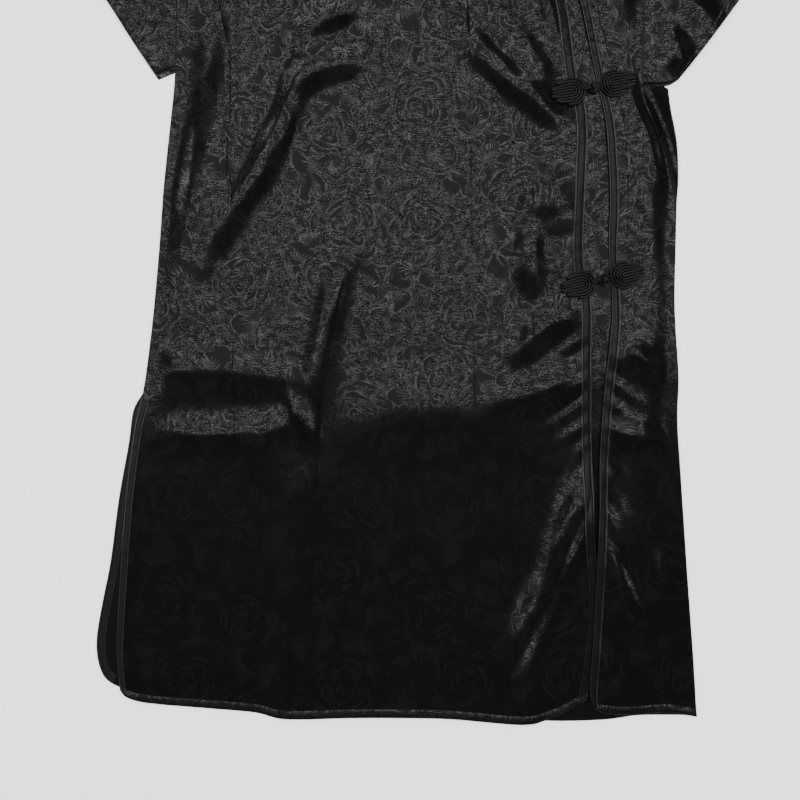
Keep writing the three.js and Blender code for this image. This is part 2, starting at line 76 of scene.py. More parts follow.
def spline_samples(rows, steps=24):
    """Points along a Catmull-Rom curve through the rows."""
    p = np.array(rows, float)
    p = np.vstack([p[:1], p, p[-1:]])
    u = np.linspace(0, 1, steps, endpoint=False)[:, None]
    runs = []
    for a, b, c, d in zip(p[:-3], p[1:-2], p[2:-1], p[3:]):
        va, vb = (c - a) / 2, (d - b) / 2
        runs.append((2 * b - 2 * c + va + vb) * u**3 + (3 * c - 3 * b - 2 * va - vb) * u**2 + va * u + b)
    return np.vstack(runs + [p[-1:]])


class Edge:
    """A drafted line, read by its share of the length (at) or by its height above the hem (x_at)."""

    def __init__(self, samples):
        self.samples = samples
        run = np.hypot(*np.diff(samples, axis=0).T)
        self.along = np.concatenate([[0], np.cumsum(run)])
        self.length = self.along[-1]
        self.along /= self.length

    def at(self, share):
        return (
            np.interp(share, self.along, self.samples[:, 0]),
            np.interp(share, self.along, self.samples[:, 1]),
        )

    def x_at(self, y):
        order = np.argsort(self.samples[:, 1])
        return np.interp(y, self.samples[order, 1], self.samples[order, 0])


def edge(*tables):
    """One edge through one or more tables of (x, y) rows, joined end to end at their corners."""
    return Edge(np.vstack([spline_samples(rows) for rows in tables]))


# x, y of each edge, left to right or upwards
wide_side = edge([
    (-264, 22), (-267, 60), (-264, 120), (-259, 190), (-251, 253), (-244, 284), (-236, 345),
    (-230, 410), (-226, 465), (-220, 522), (-216, 565), (-214, 629), (-213, 700), (-207, 766),
])
wide_opening = edge([
    (147, 14), (153, 52), (158, 100), (153.5, 165), (151, 240), (151, 325), (151, 362), (144, 405),
    (146, 470), (147, 528), (138, 565), (129, 627), (116, 668), (88, 700), (46, 722), (-7, 738),
])
wide_hem = edge([
    (-264, 22), (-257, 15), (-236, 10), (-190, 6), (-145, 2), (-118, -4), (-60, -3), (-18, -3),
    (27, -4), (90, -9), (112, -4), (130, 4), (147, 14),
])
wide_neck = edge([(-207, 766), (-140, 788), (-80, 806)], [(-80, 806), (-72, 783), (-48, 755), (-7, 738)])
narrow_opening = edge([
    (151, 12), (149, 26), (151, 60), (154, 110), (157, 170), (158, 230), (162, 285), (169, 355),
    (166, 410), (167, 455), (165, 500), (162, 530), (154, 565), (141, 627), (126, 678), (94, 712),
    (50, 731), (-5, 741),
])
narrow_side = edge([
    (244, -2), (241, 50), (236, 120), (230, 210), (227, 260), (228, 300), (224, 360), (225, 405),
    (224, 455), (213, 505), (196, 552), (197, 610), (199, 690), (191, 766),
])
narrow_hem = edge([(151, 12), (155, 6), (163, 2), (187, 0), (217, 2), (233, 0), (244, -2)])
narrow_neck = edge([(-5, 741), (32, 757), (56, 784), (64, 806)], [(64, 806), (125, 788), (191, 766)])
back_hem = edge([
    (-264, 23), (-236, 14), (-190, 10), (-145, 6), (-100, 1), (0, 1), (60, -1), (112, -6), (163, -5),
    (194, -1), (244, -1),
])
back_right = edge(
    [(244, -1), (240, 52), (236, 120), (230, 210), (227, 260), (228, 300), (225, 360), (226, 420),
     (227, 475), (226, 505), (221, 535), (219, 553)],
    [(219, 553), (208, 554.5), (196.5, 555.4)],
    [(196.5, 555.4), (197.4, 610), (199.3, 690), (191, 766)],
)
back_neck = edge([
    (-207, 766), (-140, 788), (-80, 806), (-56, 800.4), (-32, 797.2), (-8, 796.2), (16, 797.2),
    (40, 800.4), (64, 806), (125, 788), (191, 766),
])
back_slit_rows = [
    (-264, 23), (-275, 29), (-281, 37), (-285, 52), (-285, 71), (-280, 100), (-273, 136), (-266, 189),
    (-257, 240), (-253, 268), (-244, 284),
]
back_slit = edge(back_slit_rows)
back_left = edge(back_slit_rows, [
    (-244, 284), (-236, 345), (-230, 410), (-226, 465), (-220, 522), (-216, 565), (-214, 629),
    (-213, 700), (-207, 766),
])
print("opening edge, mm:", round(wide_opening.length), "hem, mm:", round(wide_hem.length))

# %% A panel between four edges


def patch(bottom, top, left, right, s, t):
    """A Coons patch: the point at share s from left to right and t from bottom to top."""
    bx, by = bottom.at(s)
    ux, uy = top.at(s)
    lx, ly = left.at(t)
    rx, ry = right.at(t)
    corners = [
        np.array(line.samples[end]) for line, end in ((bottom, 0), (bottom, -1), (top, 0), (top, -1))
    ]
    out = []
    for k, (b, u, m, r) in enumerate(((bx, ux, lx, rx), (by, uy, ly, ry))):
        p00, p10, p01, p11 = (c[k] for c in corners)
        flat = (1 - s) * (1 - t) * p00 + s * (1 - t) * p10 + (1 - s) * t * p01 + s * t * p11
        out.append((1 - t) * b + t * u + (1 - s) * m + s * r - flat)
    return out


# %% [markdown]
# ## Folds
#
# Satin that has been folded away and shaken out keeps soft ridges, a few sharp creases and the puckers
# that a tight binding draws up. A cloth simulation would give folds, but not these folds in these places,
# so the height of the cloth is worked out from a table with a row for each fold. The largest of them are
# in the solids as well. The puckers, the finer creases and a slow ripple are then added to it, some so
# low that only the reflections show them.

# %% The table of folds
# x0, y0, x1, y1, bow, half width, height, mm
folds = [
    (-152, 660, -207, 405, 7, 23, 6.0),
    (-122, 668, -128, 600, 0, 18, 5),
    (-88, 606, -176, 424, 8, 13, 7.5),
    (-118, 594, -52, 625, 3, 12, 5.5),
    (-112, 556, -46, 579, 3, 12, 5.5),
    (34, 604, 132, 520, -4, 13, 7.5),
    (60, 640, 118, 556, -4, 11, 4.5),
    (102, 660, 122, 590, 0, 8, 4),
    (88, 450, 134, 454, 3, 26, 5),
    (94, 426, 97, 376, -2, 10, 4.4),
    (88, 318, 138, 354, 6, 11, 5),
    (70, 276, 140, 298, -2, 12, 5),
    (-66, 252, 92, 258, 14, 32, 3.2),
    (149, 206, 114, 122, -1, 14, 9),
    (114, 122, 80, 39, -1, 14, 9),
    (98, 524, 99, 180, 2, 12, 2.5),
    (-58, 420, -94, 270, -6, 11, 6),
    (-94, 275, -106, 40, 2, 10, 4.5),
    (-240, 301, -110, 294, 6, 16, 4),
    (-216, 248, -128, 253, -4, 12, 4),
    (-116, 281, -92, 240, 0, 6, 2.5),
    (-116, 240, -115, 24, 0, 9, 1.6),
    (-120, 262, -150, 225, 0, 10, 2.5),
    (-180, 140, -150, 40, 8, 26, 1.6),
    (20, 160, 30, 40, -8, 30, 2),
    (-60, 700, -130, 560, 14, 26, 3),
    (40, 690, -10, 600, 8, 24, 2.5),
    (-180, 700, -120, 640, -6, 16, 3.5),
    (168, 140, 199, 78, -4, 9, 5),
    (208, 138, 230, 92, -2, 9, 3.5),
    (160, 60, 179, 26, -3, 7, 3),
    (172, 320, 214, 300, 4, 10, 3.5),
    (166, 250, 222, 234, 3, 12, 4),
    (178, 470, 210, 444, 4, 14, 2.4),
    (160, 690, 184, 620, 6, 16, 3.5),
    (120, 730, 170, 700, 4, 15, 3),
]


def smooth(low, high, x):
    t = np.clip((x - low) / (high - low), 0, 1)
    return t * t * (3 - 2 * t)


def ridges(table, x, y):
    """Summed height of soft ridges at each point."""
    total = np.zeros_like(x)
    for x0, y0, x1, y1, bow, half, height in table:
        length = math.hypot(x1 - x0, y1 - y0)
        ux, uy = (x1 - x0) / length, (y1 - y0) / length
        along = ((x - x0) * ux + (y - y0) * uy) / length
        sag = bow * np.sin(np.pi * np.clip(along, 0, 1))
        across = (-(x - x0) * uy + (y - y0) * ux - sag) / half
        ends = smooth(-0.3, 0.4, along) * (1 - smooth(0.6, 1.3, along))
        total += height * ends * np.exp(-(across**2))
    return total


print(len(folds), "folds")

# %% Where the cloth is held down
PUCKER_REACH = 26  # mm
# from y, to y, pitch, height, fall per mm away from the opening, mm
pucker_stretches = [
    (20, 250, 27, 0.8, 1.9), (225, 350, 21, 1.4, 0.7), (385, 530, 24, 0.5, 0.3), (575, 700, 31, 1.2, 0.5),
]
# x, y of each fastening's middle, and how far its loop's side tilts up, in degrees
frogs = [(161, 383, 13), (152, 552, 11), (58, 721, 60)]
CLOTH, SEAM = 1.2, 0.3  # mm, one layer as the solids have it, and the rise of a seam
UNDERLAP_REACH, LAP_RISE = 24, 1.3  # mm, how far the underlap goes under an edge, and how it lifts it
SLIT_TOP, SLIT_RISE = 278, 1.5  # mm above the hem, and how the slit's binding lifts the front
CROSS_BELOW, CROSS_RISE = 152, 3.3  # mm above the hem, where the narrow front's edge climbs over the wide
opening_points = np.vstack([
    np.stack(line.at(np.linspace(0, 1, 121)), axis=1) for line in (wide_opening, narrow_opening)
])


def distance_to(points, x, y):
    """Distance from each (x, y) to the nearest of the points."""
    least = np.full(x.shape, 1e9)
    for px, py in points:
        least = np.minimum(least, (x - px) ** 2 + (y - py) ** 2)
    return np.sqrt(least)


def looseness(x, y):
    """How much of a fold is left: none at side edges, hem, neck and fastenings."""
    sides = smooth(0, 26, x - wide_side.x_at(y)) * smooth(0, 34, narrow_side.x_at(y) - x)
    hem = 0.25 + 0.75 * smooth(0, 45, y)
    top = 1 - smooth(705, 745, y)
    calm = distance_to([(fx, fy) for fx, fy, _ in frogs], x, y)
    return sides * hem * top * smooth(15, 48, calm)


def puckers(x, y, near):
    """Small folds that fan down and away from the tight edge of the opening."""
    total = np.zeros_like(x)
    for low, high, pitch, height, fall in pucker_stretches:
        crest = y + fall * near
        wave = 0.5 + 0.5 * np.sin(2 * np.pi * crest / pitch + 0.9 * np.sin(crest / 23))
        held = smooth(low, low + 25, y) * (1 - smooth(high - 25, high, y))
        total += height * held * wave * smooth(0, 9, near) * np.exp(-((near / PUCKER_REACH) ** 2))
    return total


# %% Ripples that only the reflections show


def ripples(x, y, wavelength, height, seed):
    """A slow uneven swell: a sum of waves in seeded directions."""
    rng = np.random.default_rng(seed)
    total = np.zeros_like(x)
    for _ in range(9):
        angle, phase = rng.uniform(0, 2 * np.pi, 2)
        k = 2 * np.pi / (wavelength * rng.uniform(0.65, 1.5))
        total += np.sin(k * (x * math.cos(angle) + y * math.sin(angle)) + phase)
    return height * total / 3


def front_top(x, y, narrow=False):
    """Height of a front panel's upper face, over the back, the underlap and the slit's binding."""
    near = distance_to(opening_points, x, y)
    loose = looseness(x, y)
    puff = np.maximum(0, 1.6 + ridges(folds, x, y) + puckers(x, y, near)) * loose
    lap = LAP_RISE * (1 - smooth(UNDERLAP_REACH + 12, UNDERLAP_REACH + 30, near))
    left = x - wide_side.x_at(y)
    slit = SLIT_RISE * (1 - smooth(SLIT_TOP, SLIT_TOP + 22, y)) * (1 - smooth(12, 34, left))
    height = 2 * CLOTH + SEAM + lap + slit + puff
    lively = 0.3 + 0.7 * smooth(300, 430, y)
    swell = ripples(x, y, 80, 0.6, 3) + ripples(x, y, 34, 0.22, 8) + ripples(x, y, 13, 0.04, 5)
    height += loose * lively * swell
    if narrow:
        cross = CROSS_RISE * (1 - smooth(CROSS_BELOW, CROSS_BELOW + 50, y))
        height += cross * (1 - smooth(10, 46, x - narrow_opening.x_at(y)))
        side = narrow_side.x_at(y) - x
        tucked = smooth(440, 500, y) * (1 - smooth(552, 575, y))
        height += 2.6 * tucked * smooth(0, 12, side) * (1 - smooth(12, 36, side))
    return height


def narrow_top(x, y):
    return front_top(x, y, narrow=True)


# %% [markdown]
# ## Panels of cloth
#
# Each panel starts as one flat grid, and its points are then moved to the cut and raised to the folds.
# The grid's columns are not even: they crowd together at the darts, the pressed creases and the stitch
# lines, so that a groove a millimetre wide is real and sharp without a fine mesh everywhere. A Solidify
# modifier gives the cloth its half millimetre, and a UV map in metres of cloth carries the weave. Each
# panel takes its own place on the cloth, so the flowers break off at a seam as they do when cloth is cut.

# %% A grid that becomes cloth
CLOTH_WALL = 0.5  # mm, shown thickness of one layer


def object_from(bm, name, smoothed=True):
    """A linked object made from a bmesh, which is freed."""
    mesh = bpy.data.meshes.new(name)
    bm.to_mesh(mesh)
    bm.free()
    mesh.polygons.foreach_set("use_smooth", np.full(len(mesh.polygons), smoothed))
    piece = bpy.data.objects.new(name, mesh)
    bpy.context.collection.objects.link(piece)
    return piece


def cloth_grid(name, sheet, thickness=CLOTH_WALL, offset=-1):
    """A walled grid over rows and columns of points: draft x, y, z and place on the cloth u, v, in mm."""
    x, y, z, u, v = sheet
    rows, columns = x.shape[0] - 1, x.shape[1] - 1
    bm = bmesh.new()
    bmesh.ops.create_grid(bm, x_segments=columns, y_segments=rows, size=0.5)
    c = np.array([round((point.co.x + 0.5) * columns) for point in bm.verts])
    r = np.array([round((point.co.y + 0.5) * rows) for point in bm.verts])
    for point, co in zip(bm.verts, placed(x[r, c], y[r, c], z[r, c])):
        point.co = co
    piece = object_from(bm, name)
    corner = np.empty(len(piece.data.loops), int)
    piece.data.loops.foreach_get("vertex_index", corner)
    on_cloth = np.stack([u[r, c], v[r, c]], axis=-1)[corner] / 1000
    piece.data.uv_layers.new(name="cut").data.foreach_set("uv", on_cloth.ravel())
    wall = piece.modifiers.new("wall", "SOLIDIFY")
    wall.thickness, wall.offset = thickness / 1000, offset
    print(name, len(piece.data.polygons), "faces")
    return piece


def spread(breaks, counts):
    """Shares at the breaks, with counts[i] even steps between breaks i and i + 1; breaks may be rows."""
    ticks = np.concatenate([[0], np.cumsum(counts)])
    return np.array([np.interp(np.arange(ticks[-1] + 1), ticks, row) for row in np.atleast_2d(breaks)])


# %% Darts and pressed creases run up the wide front
dart_left = edge([(-164, 190), (-166, 339), (-168, 453), (-168, 576), (-174, 598), (-183, 650)])
dart_right = edge([(51, 190), (47.5, 365), (46, 497), (44, 603), (42, 650)])
crease_left = edge([(-116, 18), (-117, 120), (-115, 300), (-114, 470)])
crease_right = edge([(99, 175), (98, 400), (97.7, 530)])
centre_fold = edge([(-100, 30), (-94, 120), (-90, 210), (-84, 290), (-74, 350), (-66, 385)])
lines = [dart_left, crease_left, centre_fold, dart_right, crease_right]


def line_shares(cut, t, guide):
    """For each row t, the share s at which the patch meets a guide line."""
    s = np.linspace(0.02, 0.98, 121)
    shares = []
    for level in t:
        x, y = patch(*cut, s, np.full_like(s, level))
        shares.append(np.interp(0, x - guide.x_at(y), s))
    return np.array(shares)


def groove(line, x, y, width, depth, low, high):
    """A narrow furrow along a line between two heights."""
    off = (x - line.x_at(y)) / width
    return -depth * np.exp(-(off**2)) * smooth(low, low + 30, y) * (1 - smooth(high - 20, high, y))


# %% Rows of cells and the width of a panel
PANEL = 800  # mm, the length that rows of cells are counted over
HEM_DEPTH = 7  # mm, from the hem's edge to its stitches
hem_rows = [0, 1.2, 2.6, 4.2, 5.6, 6.4, 7.0, 7.6, 8.6]  # mm


def panel_rows(count):
    """Shares up a panel: close rows over the hem, then an even count of them."""
    return np.concatenate([np.array(hem_rows) / PANEL, np.linspace(10.5 / PANEL, 1, count)])


def width_at(cut, t):
    """Distance across a panel at share t, from its left side to its right."""
    lx, ly = cut[2].at(t)
    rx, ry = cut[3].at(t)
    return np.hypot(rx - lx, ry - ly)


# %% The wide front
wide_cut = (wide_hem, wide_neck, wide_side, wide_opening)
wide_t = panel_rows(285)
wide_width = width_at(wide_cut, wide_t)
step = [d / wide_width for d in (1.0, 2.4)]
wide_breaks = [np.zeros_like(wide_t), 0.3 / wide_width, 8.5 / wide_width]
wide_counts = [1, 4]
for line, cells in zip(lines, (24, 13, 5, 38, 13)):
    share = line_shares(wide_cut, wide_t, line)
    wide_breaks += [share - step[1], share - step[0], share, share + step[0], share + step[1]]
    wide_counts += [cells, 1, 1, 1, 1]
wide_breaks += [1 - 10.5 / wide_width, np.ones_like(wide_t)]
wide_counts += [13, 5]
wide_s = spread(np.stack(wide_breaks, axis=1), wide_counts)


def hem_relief(t):
    """The turned-up hem is one layer thicker, with a furrow where it is stitched."""
    d = t * PANEL
    layer = 0.35 * (1 - smooth(HEM_DEPTH - 0.4, HEM_DEPTH + 1, d))
    return layer + 1.1 * (1 - smooth(0, HEM_DEPTH, d)) - 0.35 * np.exp(-(((d - HEM_DEPTH) / 0.7) ** 2))


def wide_front_sheet():
    t = np.repeat(wide_t[:, None], wide_s.shape[1], axis=1)
    x, y = patch(*wide_cut, wide_s, t)
    z = front_top(x, y) + hem_relief(t)
    z += groove(dart_left, x, y, 1.0, 0.8, 200, 655) + groove(dart_right, x, y, 1.0, 0.65, 200, 655)
    z += groove(crease_left, x, y, 1.4, 0.4, 20, 470) + groove(crease_right, x, y, 1.4, 0.5, 175, 530)
    z += groove(centre_fold, x, y, 2.4, 0.75, 25, 390)
    return x, y, z, x, y


wide_front = cloth_grid("front_wide_cloth", wide_front_sheet())

# %% The narrow front
narrow_cut = (narrow_hem, narrow_neck, narrow_opening, narrow_side)
narrow_t = panel_rows(285)
narrow_width = width_at(narrow_cut, narrow_t)
narrow_breaks = [
    np.zeros_like(narrow_t), 10.5 / narrow_width, 1 - 26 / narrow_width, 1 - 0.3 / narrow_width,
    np.ones_like(narrow_t),
]
narrow_s = spread(np.stack(narrow_breaks, axis=1), [5, 22, 20, 1])


def narrow_front_sheet():
    t = np.repeat(narrow_t[:, None], narrow_s.shape[1], axis=1)
    x, y = patch(*narrow_cut, narrow_s, t)
    return x, y, narrow_top(x, y) + hem_relief(t), x + 137, y + 61


narrow_front = cloth_grid("front_narrow_cloth", narrow_front_sheet())

# %% [markdown]
# ### The back and the underlap
#
# The back is one whole panel under the fronts. Only its rounded slit corner and a strip at the right
# underarm show, where it rolls up round the side, so its grid is fine at that side and plain elsewhere.
# The underlap is the strip of brocade between the two opening edges. It lies flat, so two lines moved
# sideways from those edges are enough to shape it.

# %% The back
back_cut = (back_hem, back_neck, back_left, back_right)
ROLL = 5  # mm, how high the back's side rolls up at the right underarm


def back_sheet():
    columns = np.concatenate([np.linspace(0, 0.9, 60), np.linspace(0.905, 1, 40)])
    s, t = np.meshgrid(columns, panel_rows(190))
    x, y = patch(*back_cut, s, t)
    beyond = x - narrow_side.x_at(y)
    rolled = smooth(0, 6, beyond) * (1 - 0.85 * smooth(5, 25, beyond))
    z = CLOTH + ROLL * rolled * smooth(440, 480, y) * (1 - smooth(545, 556, y))
    return x, y, z, x + 53, y + 29


back = cloth_grid("back_cloth", back_sheet(), thickness=0.9)
back.modifiers["wall"].material_offset = 1  # its wall shows the brocade, its faces mostly the reverse
for face in back.data.polygons:
    x, y = (1000 * face.center[k] - SHIFT[k] for k in (0, 1))
    face.material_index = int(440 < y < 556 and x > narrow_side.x_at(y) + 4)

# %% The underlap


def side_step(line, share, reach):
    """A line moved sideways by reach, to its left when positive."""
    x, y = line.at(share)
    x2, y2 = line.at(np.clip(share + 0.004, 0, 1))
    x1, y1 = line.at(np.clip(share - 0.004, 0, 1))
    run = np.hypot(x2 - x1, y2 - y1)
    return x - (y2 - y1) / run * reach, y + (x2 - x1) / run * reach


def underlap_sheet():
    share = np.linspace(0.045, 0.965, 240)
    lx, ly = side_step(wide_opening, share, UNDERLAP_REACH - 1)
    rx, ry = side_step(narrow_opening, share, 1 - UNDERLAP_REACH)
    s = np.linspace(0, 1, 17)[None, :]
    x = lx[:, None] * (1 - s) + rx[:, None] * s
    y = np.minimum(ly[:, None] * (1 - s) + ry[:, None] * s, 742)
    z = 2.5 + 0.12 * np.sin(y / 9) + np.zeros_like(x)
    return x, y, z, x - 91, y + 17


underlap = cloth_grid("underlap_cloth", underlap_sheet())

# %% [markdown]
# ## Bindings
#
# The opening and the slit are bound with bias strips of the plain satin side, folded over the raw edge
# and stitched down along both sides. Because the strip is cut on the bias and sewn tight it rolls a
# little at each edge, and those two rolls catch the light as thin bright lines. The strip's section is
# therefore a table: two small rolls, a furrow for each row of stitches, and a flat middle.

# %% The section of a binding
# share across, height, mm
binding_section = np.array([
    (0.00, 0.10), (0.02, 0.60), (0.06, 0.84), (0.13, 0.86), (0.17, 0.62), (0.21, 0.22), (0.26, 0.48),
    (0.40, 0.58), (0.60, 0.58), (0.74, 0.48), (0.79, 0.22), (0.83, 0.62), (0.87, 0.86), (0.94, 0.84),
    (0.98, 0.60), (1.00, 0.10),
])


BAND, SLIT_BAND, BAND_WALL = 10, 8, 0.3  # mm, widths of the bindings and thickness of their cloth
BACK_BAND_LEVEL = 1.3  # mm, height of the binding on the back's slit
BACK_BAND_RELIEF = 0.6  # share of the section's height that is left where it lies pressed flat


def binding(name, cut, top, start, end, t):
    """A strip on a panel between two distances from one of its sides, made from the panel's own shape."""
    share = binding_section[None, :, 0]
    offset = (start + (end - start) * share) / width_at(cut, t)[:, None]
    s = offset if start >= 0 else 1 + offset
    x, y = patch(*cut, s, np.repeat(t[:, None], share.shape[1], axis=1))
    z = top(x, y) + SEAM + binding_section[None, :, 1]
    z += 0.12 * np.sin(y / 2.1 + 1.3 * np.sin(y / 17)) * np.sin(np.pi * share)
    crinkles = smooth(565, 590, y) * (1 - smooth(690, 715, y)) * np.sin(np.pi * share) ** 2
    z += 0.5 * crinkles * np.sin(y / 1.5 + 1.1 * np.sin(y / 6) + 2.5 * share)
    return cloth_grid(name, (x, y, z, 10 * share + 0 * x, y), BAND_WALL)


band_t = np.concatenate([np.linspace(3 / PANEL, 0.66, 200), np.linspace(0.6615, 1, 230)])
band_wide = binding("binding_wide_satin", wide_cut, front_top, -BAND, -0.01, band_t)
band_narrow = binding("binding_narrow_satin", narrow_cut, narrow_top, 0.01, BAND, band_t)
slit_share = float(np.interp(SLIT_TOP, wide_side.samples[:, 1], wide_side.along))
slit_t = np.linspace(2 / PANEL, slit_share, 110)
band_slit_front = binding("binding_slit_front_satin", wide_cut, front_top, 0.01, SLIT_BAND, slit_t)


def back_slit_sheet():
    share = np.linspace(0.03, 0.985, 120)
    across = binding_section[:, 0]
    x, y = zip(*(side_step(back_slit, share, -SLIT_BAND * a) for a in across))
    x, y = np.array(x).T, np.array(y).T
    z = BACK_BAND_LEVEL + BACK_BAND_RELIEF * binding_section[None, :, 1] + 0 * x
    return x, y, z, 10 * across[None, :] + 0 * x, y


band_slit_back = cloth_grid("binding_slit_back_satin", back_slit_sheet(), BAND_WALL)

# %% [markdown]
# ## Sleeves
#
# A set-in sleeve laid flat is a tube pressed into two layers that meet in a fold along the top and at the
# underarm. One grid runs right round it, from the underarm below, over the fold and back, and its two
# long sides are welded into a tube.

# %% Sleeve tables
sleeves = {
    "left": {
        "armhole": edge([(-216.6, 566), (-214.5, 629), (-213.5, 700), (-207.5, 766.5)]),
        "hem": edge([(-231, 560), (-253, 593), (-276, 629), (-319, 693)]),
        "underarm": edge([(-216.6, 566), (-231, 560)]),
        "fold": edge([(-207.5, 766.5), (-262, 731), (-319, 693)]),
        "fold_back": 7,
        "ridges": [
            (-222, 640, -300, 668, 6, 18, 4), (-220, 600, -262, 610, 3, 12, 2.5),
            (-214, 720, -280, 706, 4, 14, 3),
        ],
    },
    "right": {
        "armhole": edge([(197, 553.6), (198, 610), (200, 690), (191.5, 766.5)]),
        "hem": edge([(228, 560), (252, 590), (281, 629), (327, 691)]),
        "underarm": edge([(197, 553.6), (212, 553.8), (221, 555.6), (228, 560)]),
        "fold": edge([(191.5, 766.5), (256, 731), (327, 691)]),
        "fold_back": 1,
        "ridges": [
            (203, 640, 262, 604, 5, 14, 5), (216, 606, 230, 568, 2, 11, 5.5),
            (206, 720, 290, 690, 4, 16, 3.5),
        ],
    },
}
SLEEVE_HEM = 9.3  # mm, from the sleeve's edge to its stitches
SLEEVE_REACH = 95  # mm, from the armhole to the sleeve's edge
FOLD_LEVEL = 1.45  # mm, height of the fold that joins a sleeve's two layers

# %% Sleeve tubes


def sleeve_cut(plan):
    return plan["armhole"], plan["hem"], plan["underarm"], plan["fold"]


def sleeve_height(plan, x, y, s, t):
    """Upper layer of a sleeve, with its ridges and its turned hem."""
    ease = smooth(0, 0.12, s) * smooth(0, 0.12, 1 - s) * smooth(0, 0.25, t)
    z = 2 * CLOTH + SEAM + np.maximum(0, 1.2 + ridges(plan["ridges"], x, y)) * ease
    d = (1 - t) * SLEEVE_REACH
    z += 0.3 * (1 - smooth(SLEEVE_HEM - 0.4, SLEEVE_HEM + 1, d))
    z -= 0.35 * np.exp(-(((d - SLEEVE_HEM) / 0.7) ** 2))
    return z + ease * ripples(x, y, 40, 0.12, 11)


def sleeve_sheet(plan):
    """The upper and lower layers as one grid, from the underarm below, over the fold and back."""
    half = 46  # columns in each layer
    hem_t = 1 - np.linspace(10.8, 0, 12) / SLEEVE_REACH
    t = np.concatenate([[0], np.linspace(0.3 / SLEEVE_REACH, 1 - 12 / SLEEVE_REACH, 40), hem_t])
    up = np.linspace(0, 1, half + 1)
    low = plan["fold_back"] / plan["armhole"].length
    s = np.concatenate([up, (low + (1 - low) * up[::-1])[1:], [0.0]])
    s, t = np.meshgrid(s, t)
    x, y = patch(*sleeve_cut(plan), s, t)
    column = np.arange(s.shape[1])[None, :]
    upper = column > half
    z = np.where(upper & (column < 2 * half + 1), sleeve_height(plan, x, y, s, t), 0.5)
    z = FOLD_LEVEL + (z - FOLD_LEVEL) * np.minimum(1, np.abs(column - half) / 3)
    return x, y, z, x + 211 + 300 * upper, y * 0.98 + 77


def sleeve(side, plan):
    tube = cloth_grid(f"sleeve_{side}_cloth", sleeve_sheet(plan), thickness=0.4, offset=0)
    bm = bmesh.new()
    bm.from_mesh(tube.data)
    bmesh.ops.remove_doubles(bm, verts=bm.verts, dist=1e-6)
    bmesh.ops.recalc_face_normals(bm, faces=bm.faces)
    bm.to_mesh(tube.data)
    bm.free()
    return tube


sleeve_pieces = {side: sleeve(side, plan) for side, plan in sleeves.items()}

# %% [markdown]
# ### Armhole allowances and the stand collar
#
# Inside each armhole the seam's two raw edges lie as a narrow flat strip under the seam. The stand collar
# is a stiffened double strip that runs from one front end round the back to the other, and leans inwards.
# It is given by two curves in space, the seam and the top edge, with cloth stretched straight between
# them, because that is how a stiff collar bends.

# %% Seam allowances inside the armholes


def allowance(side, plan):
    x, y = plan["armhole"].at(np.linspace(0.0, 0.98, 60)[:, None])
    x = x + np.linspace(-4, 4, 5)[None, :]
    return cloth_grid(f"armhole_allowance_{side}", (x, y + 0 * x, 1.95 + 0 * x, x, y + 0 * x), 0.3)


allowances = [allowance(side, plan) for side, plan in sleeves.items()]

# %% Stand collar
# x, y, z of the seam and of the top edge, from one front end round the back to the other, mm
collar_seam = spline_samples([
    (-9, 740.4, 3.6), (-29, 747.4, 2.9), (-47.4, 759.4, 2.6), (-67.4, 784, 2.4), (-74.6, 802, 2.4),
    (-73.4, 806, 1.9), (-69, 804.8, 1.4), (-54, 799.5, 1.0), (-32, 796.3, 0.9), (-8, 795.3, 0.9),
    (16, 796.3, 0.9), (38, 799.5, 1.0), (53, 804.8, 1.4), (57, 806, 1.9), (57.5, 802.4, 2.4),
    (49.4, 787.2, 2.4), (29, 763.2, 2.6), (12, 753.8, 2.9), (-4.4, 745.2, 3.6),
])
collar_top = spline_samples([
    (-11, 776, 15), (-30, 784, 16), (-46, 796, 16.5), (-60, 820, 16.5), (-67, 842, 15), (-67, 847, 12),
    (-61, 846, 9), (-48, 840, 8), (-29, 836, 7.5), (-8, 835, 7.5), (13, 836, 7.5), (32, 840, 8),
    (45, 846, 9), (51, 847, 12), (51, 842, 15), (44, 820, 16.5), (30, 797, 16.5), (14, 785, 16),
    (-3, 777, 15),
])


def along_samples(samples, share):
    run = np.concatenate([[0], np.cumsum(np.linalg.norm(np.diff(samples, axis=0), axis=1))])
    return np.stack([np.interp(share * run[-1], run, column) for column in samples.T], axis=-1)


def collar_sheet():
    share = np.linspace(0, 1, 181)
    level = np.linspace(0, 1, 17)[:, None, None]
    low, high = along_samples(collar_seam, share), along_samples(collar_top, share)
    x, y, z = np.moveaxis(low + (high - low) * level, -1, 0)
    return x, y, z, 380 * share[None, :] + 0 * x, 40 * level[..., 0] + 0 * x


collar = cloth_grid("collar_cloth", collar_sheet(), thickness=1.1, offset=0)

# %% [markdown]
# ## Corded fastenings
#
# Each wing of a frog is one satin cord laid to and fro on its side: round arcs at the head, strands that
# run out side by side, and a small turn at the end of each. A curve with a round bevel is the natural
# tool for cord, because the route is then just a short walk: out along a strand, round the turn, back,
# round the head, and so on. The ball is wound from cord too, and sits in the loop of the other wing.

# %% The route of a wing's cord
CORD = 2.3  # mm
WING_START = 6.2  # from the fastening's middle to the head of a wing
HEAD = 12.6  # from the head to the centre of its arcs
# radius of the arc, reach of its two strands, and how far they close up at their ends, mm
wing_rows = [(1.2, 31.0, 0.9), (3.75, 30.2, 0.84), (6.3, 28.0, 0.84), (8.85, 24.4, 0.88), (11.4, 19.0, 0.93)]


def arc(cx, cy, radius, start, end, steps):
    angle = np.radians(np.linspace(start, end, steps))
    return list(zip(cx + radius * np.cos(angle), cy + radius * np.sin(angle)))


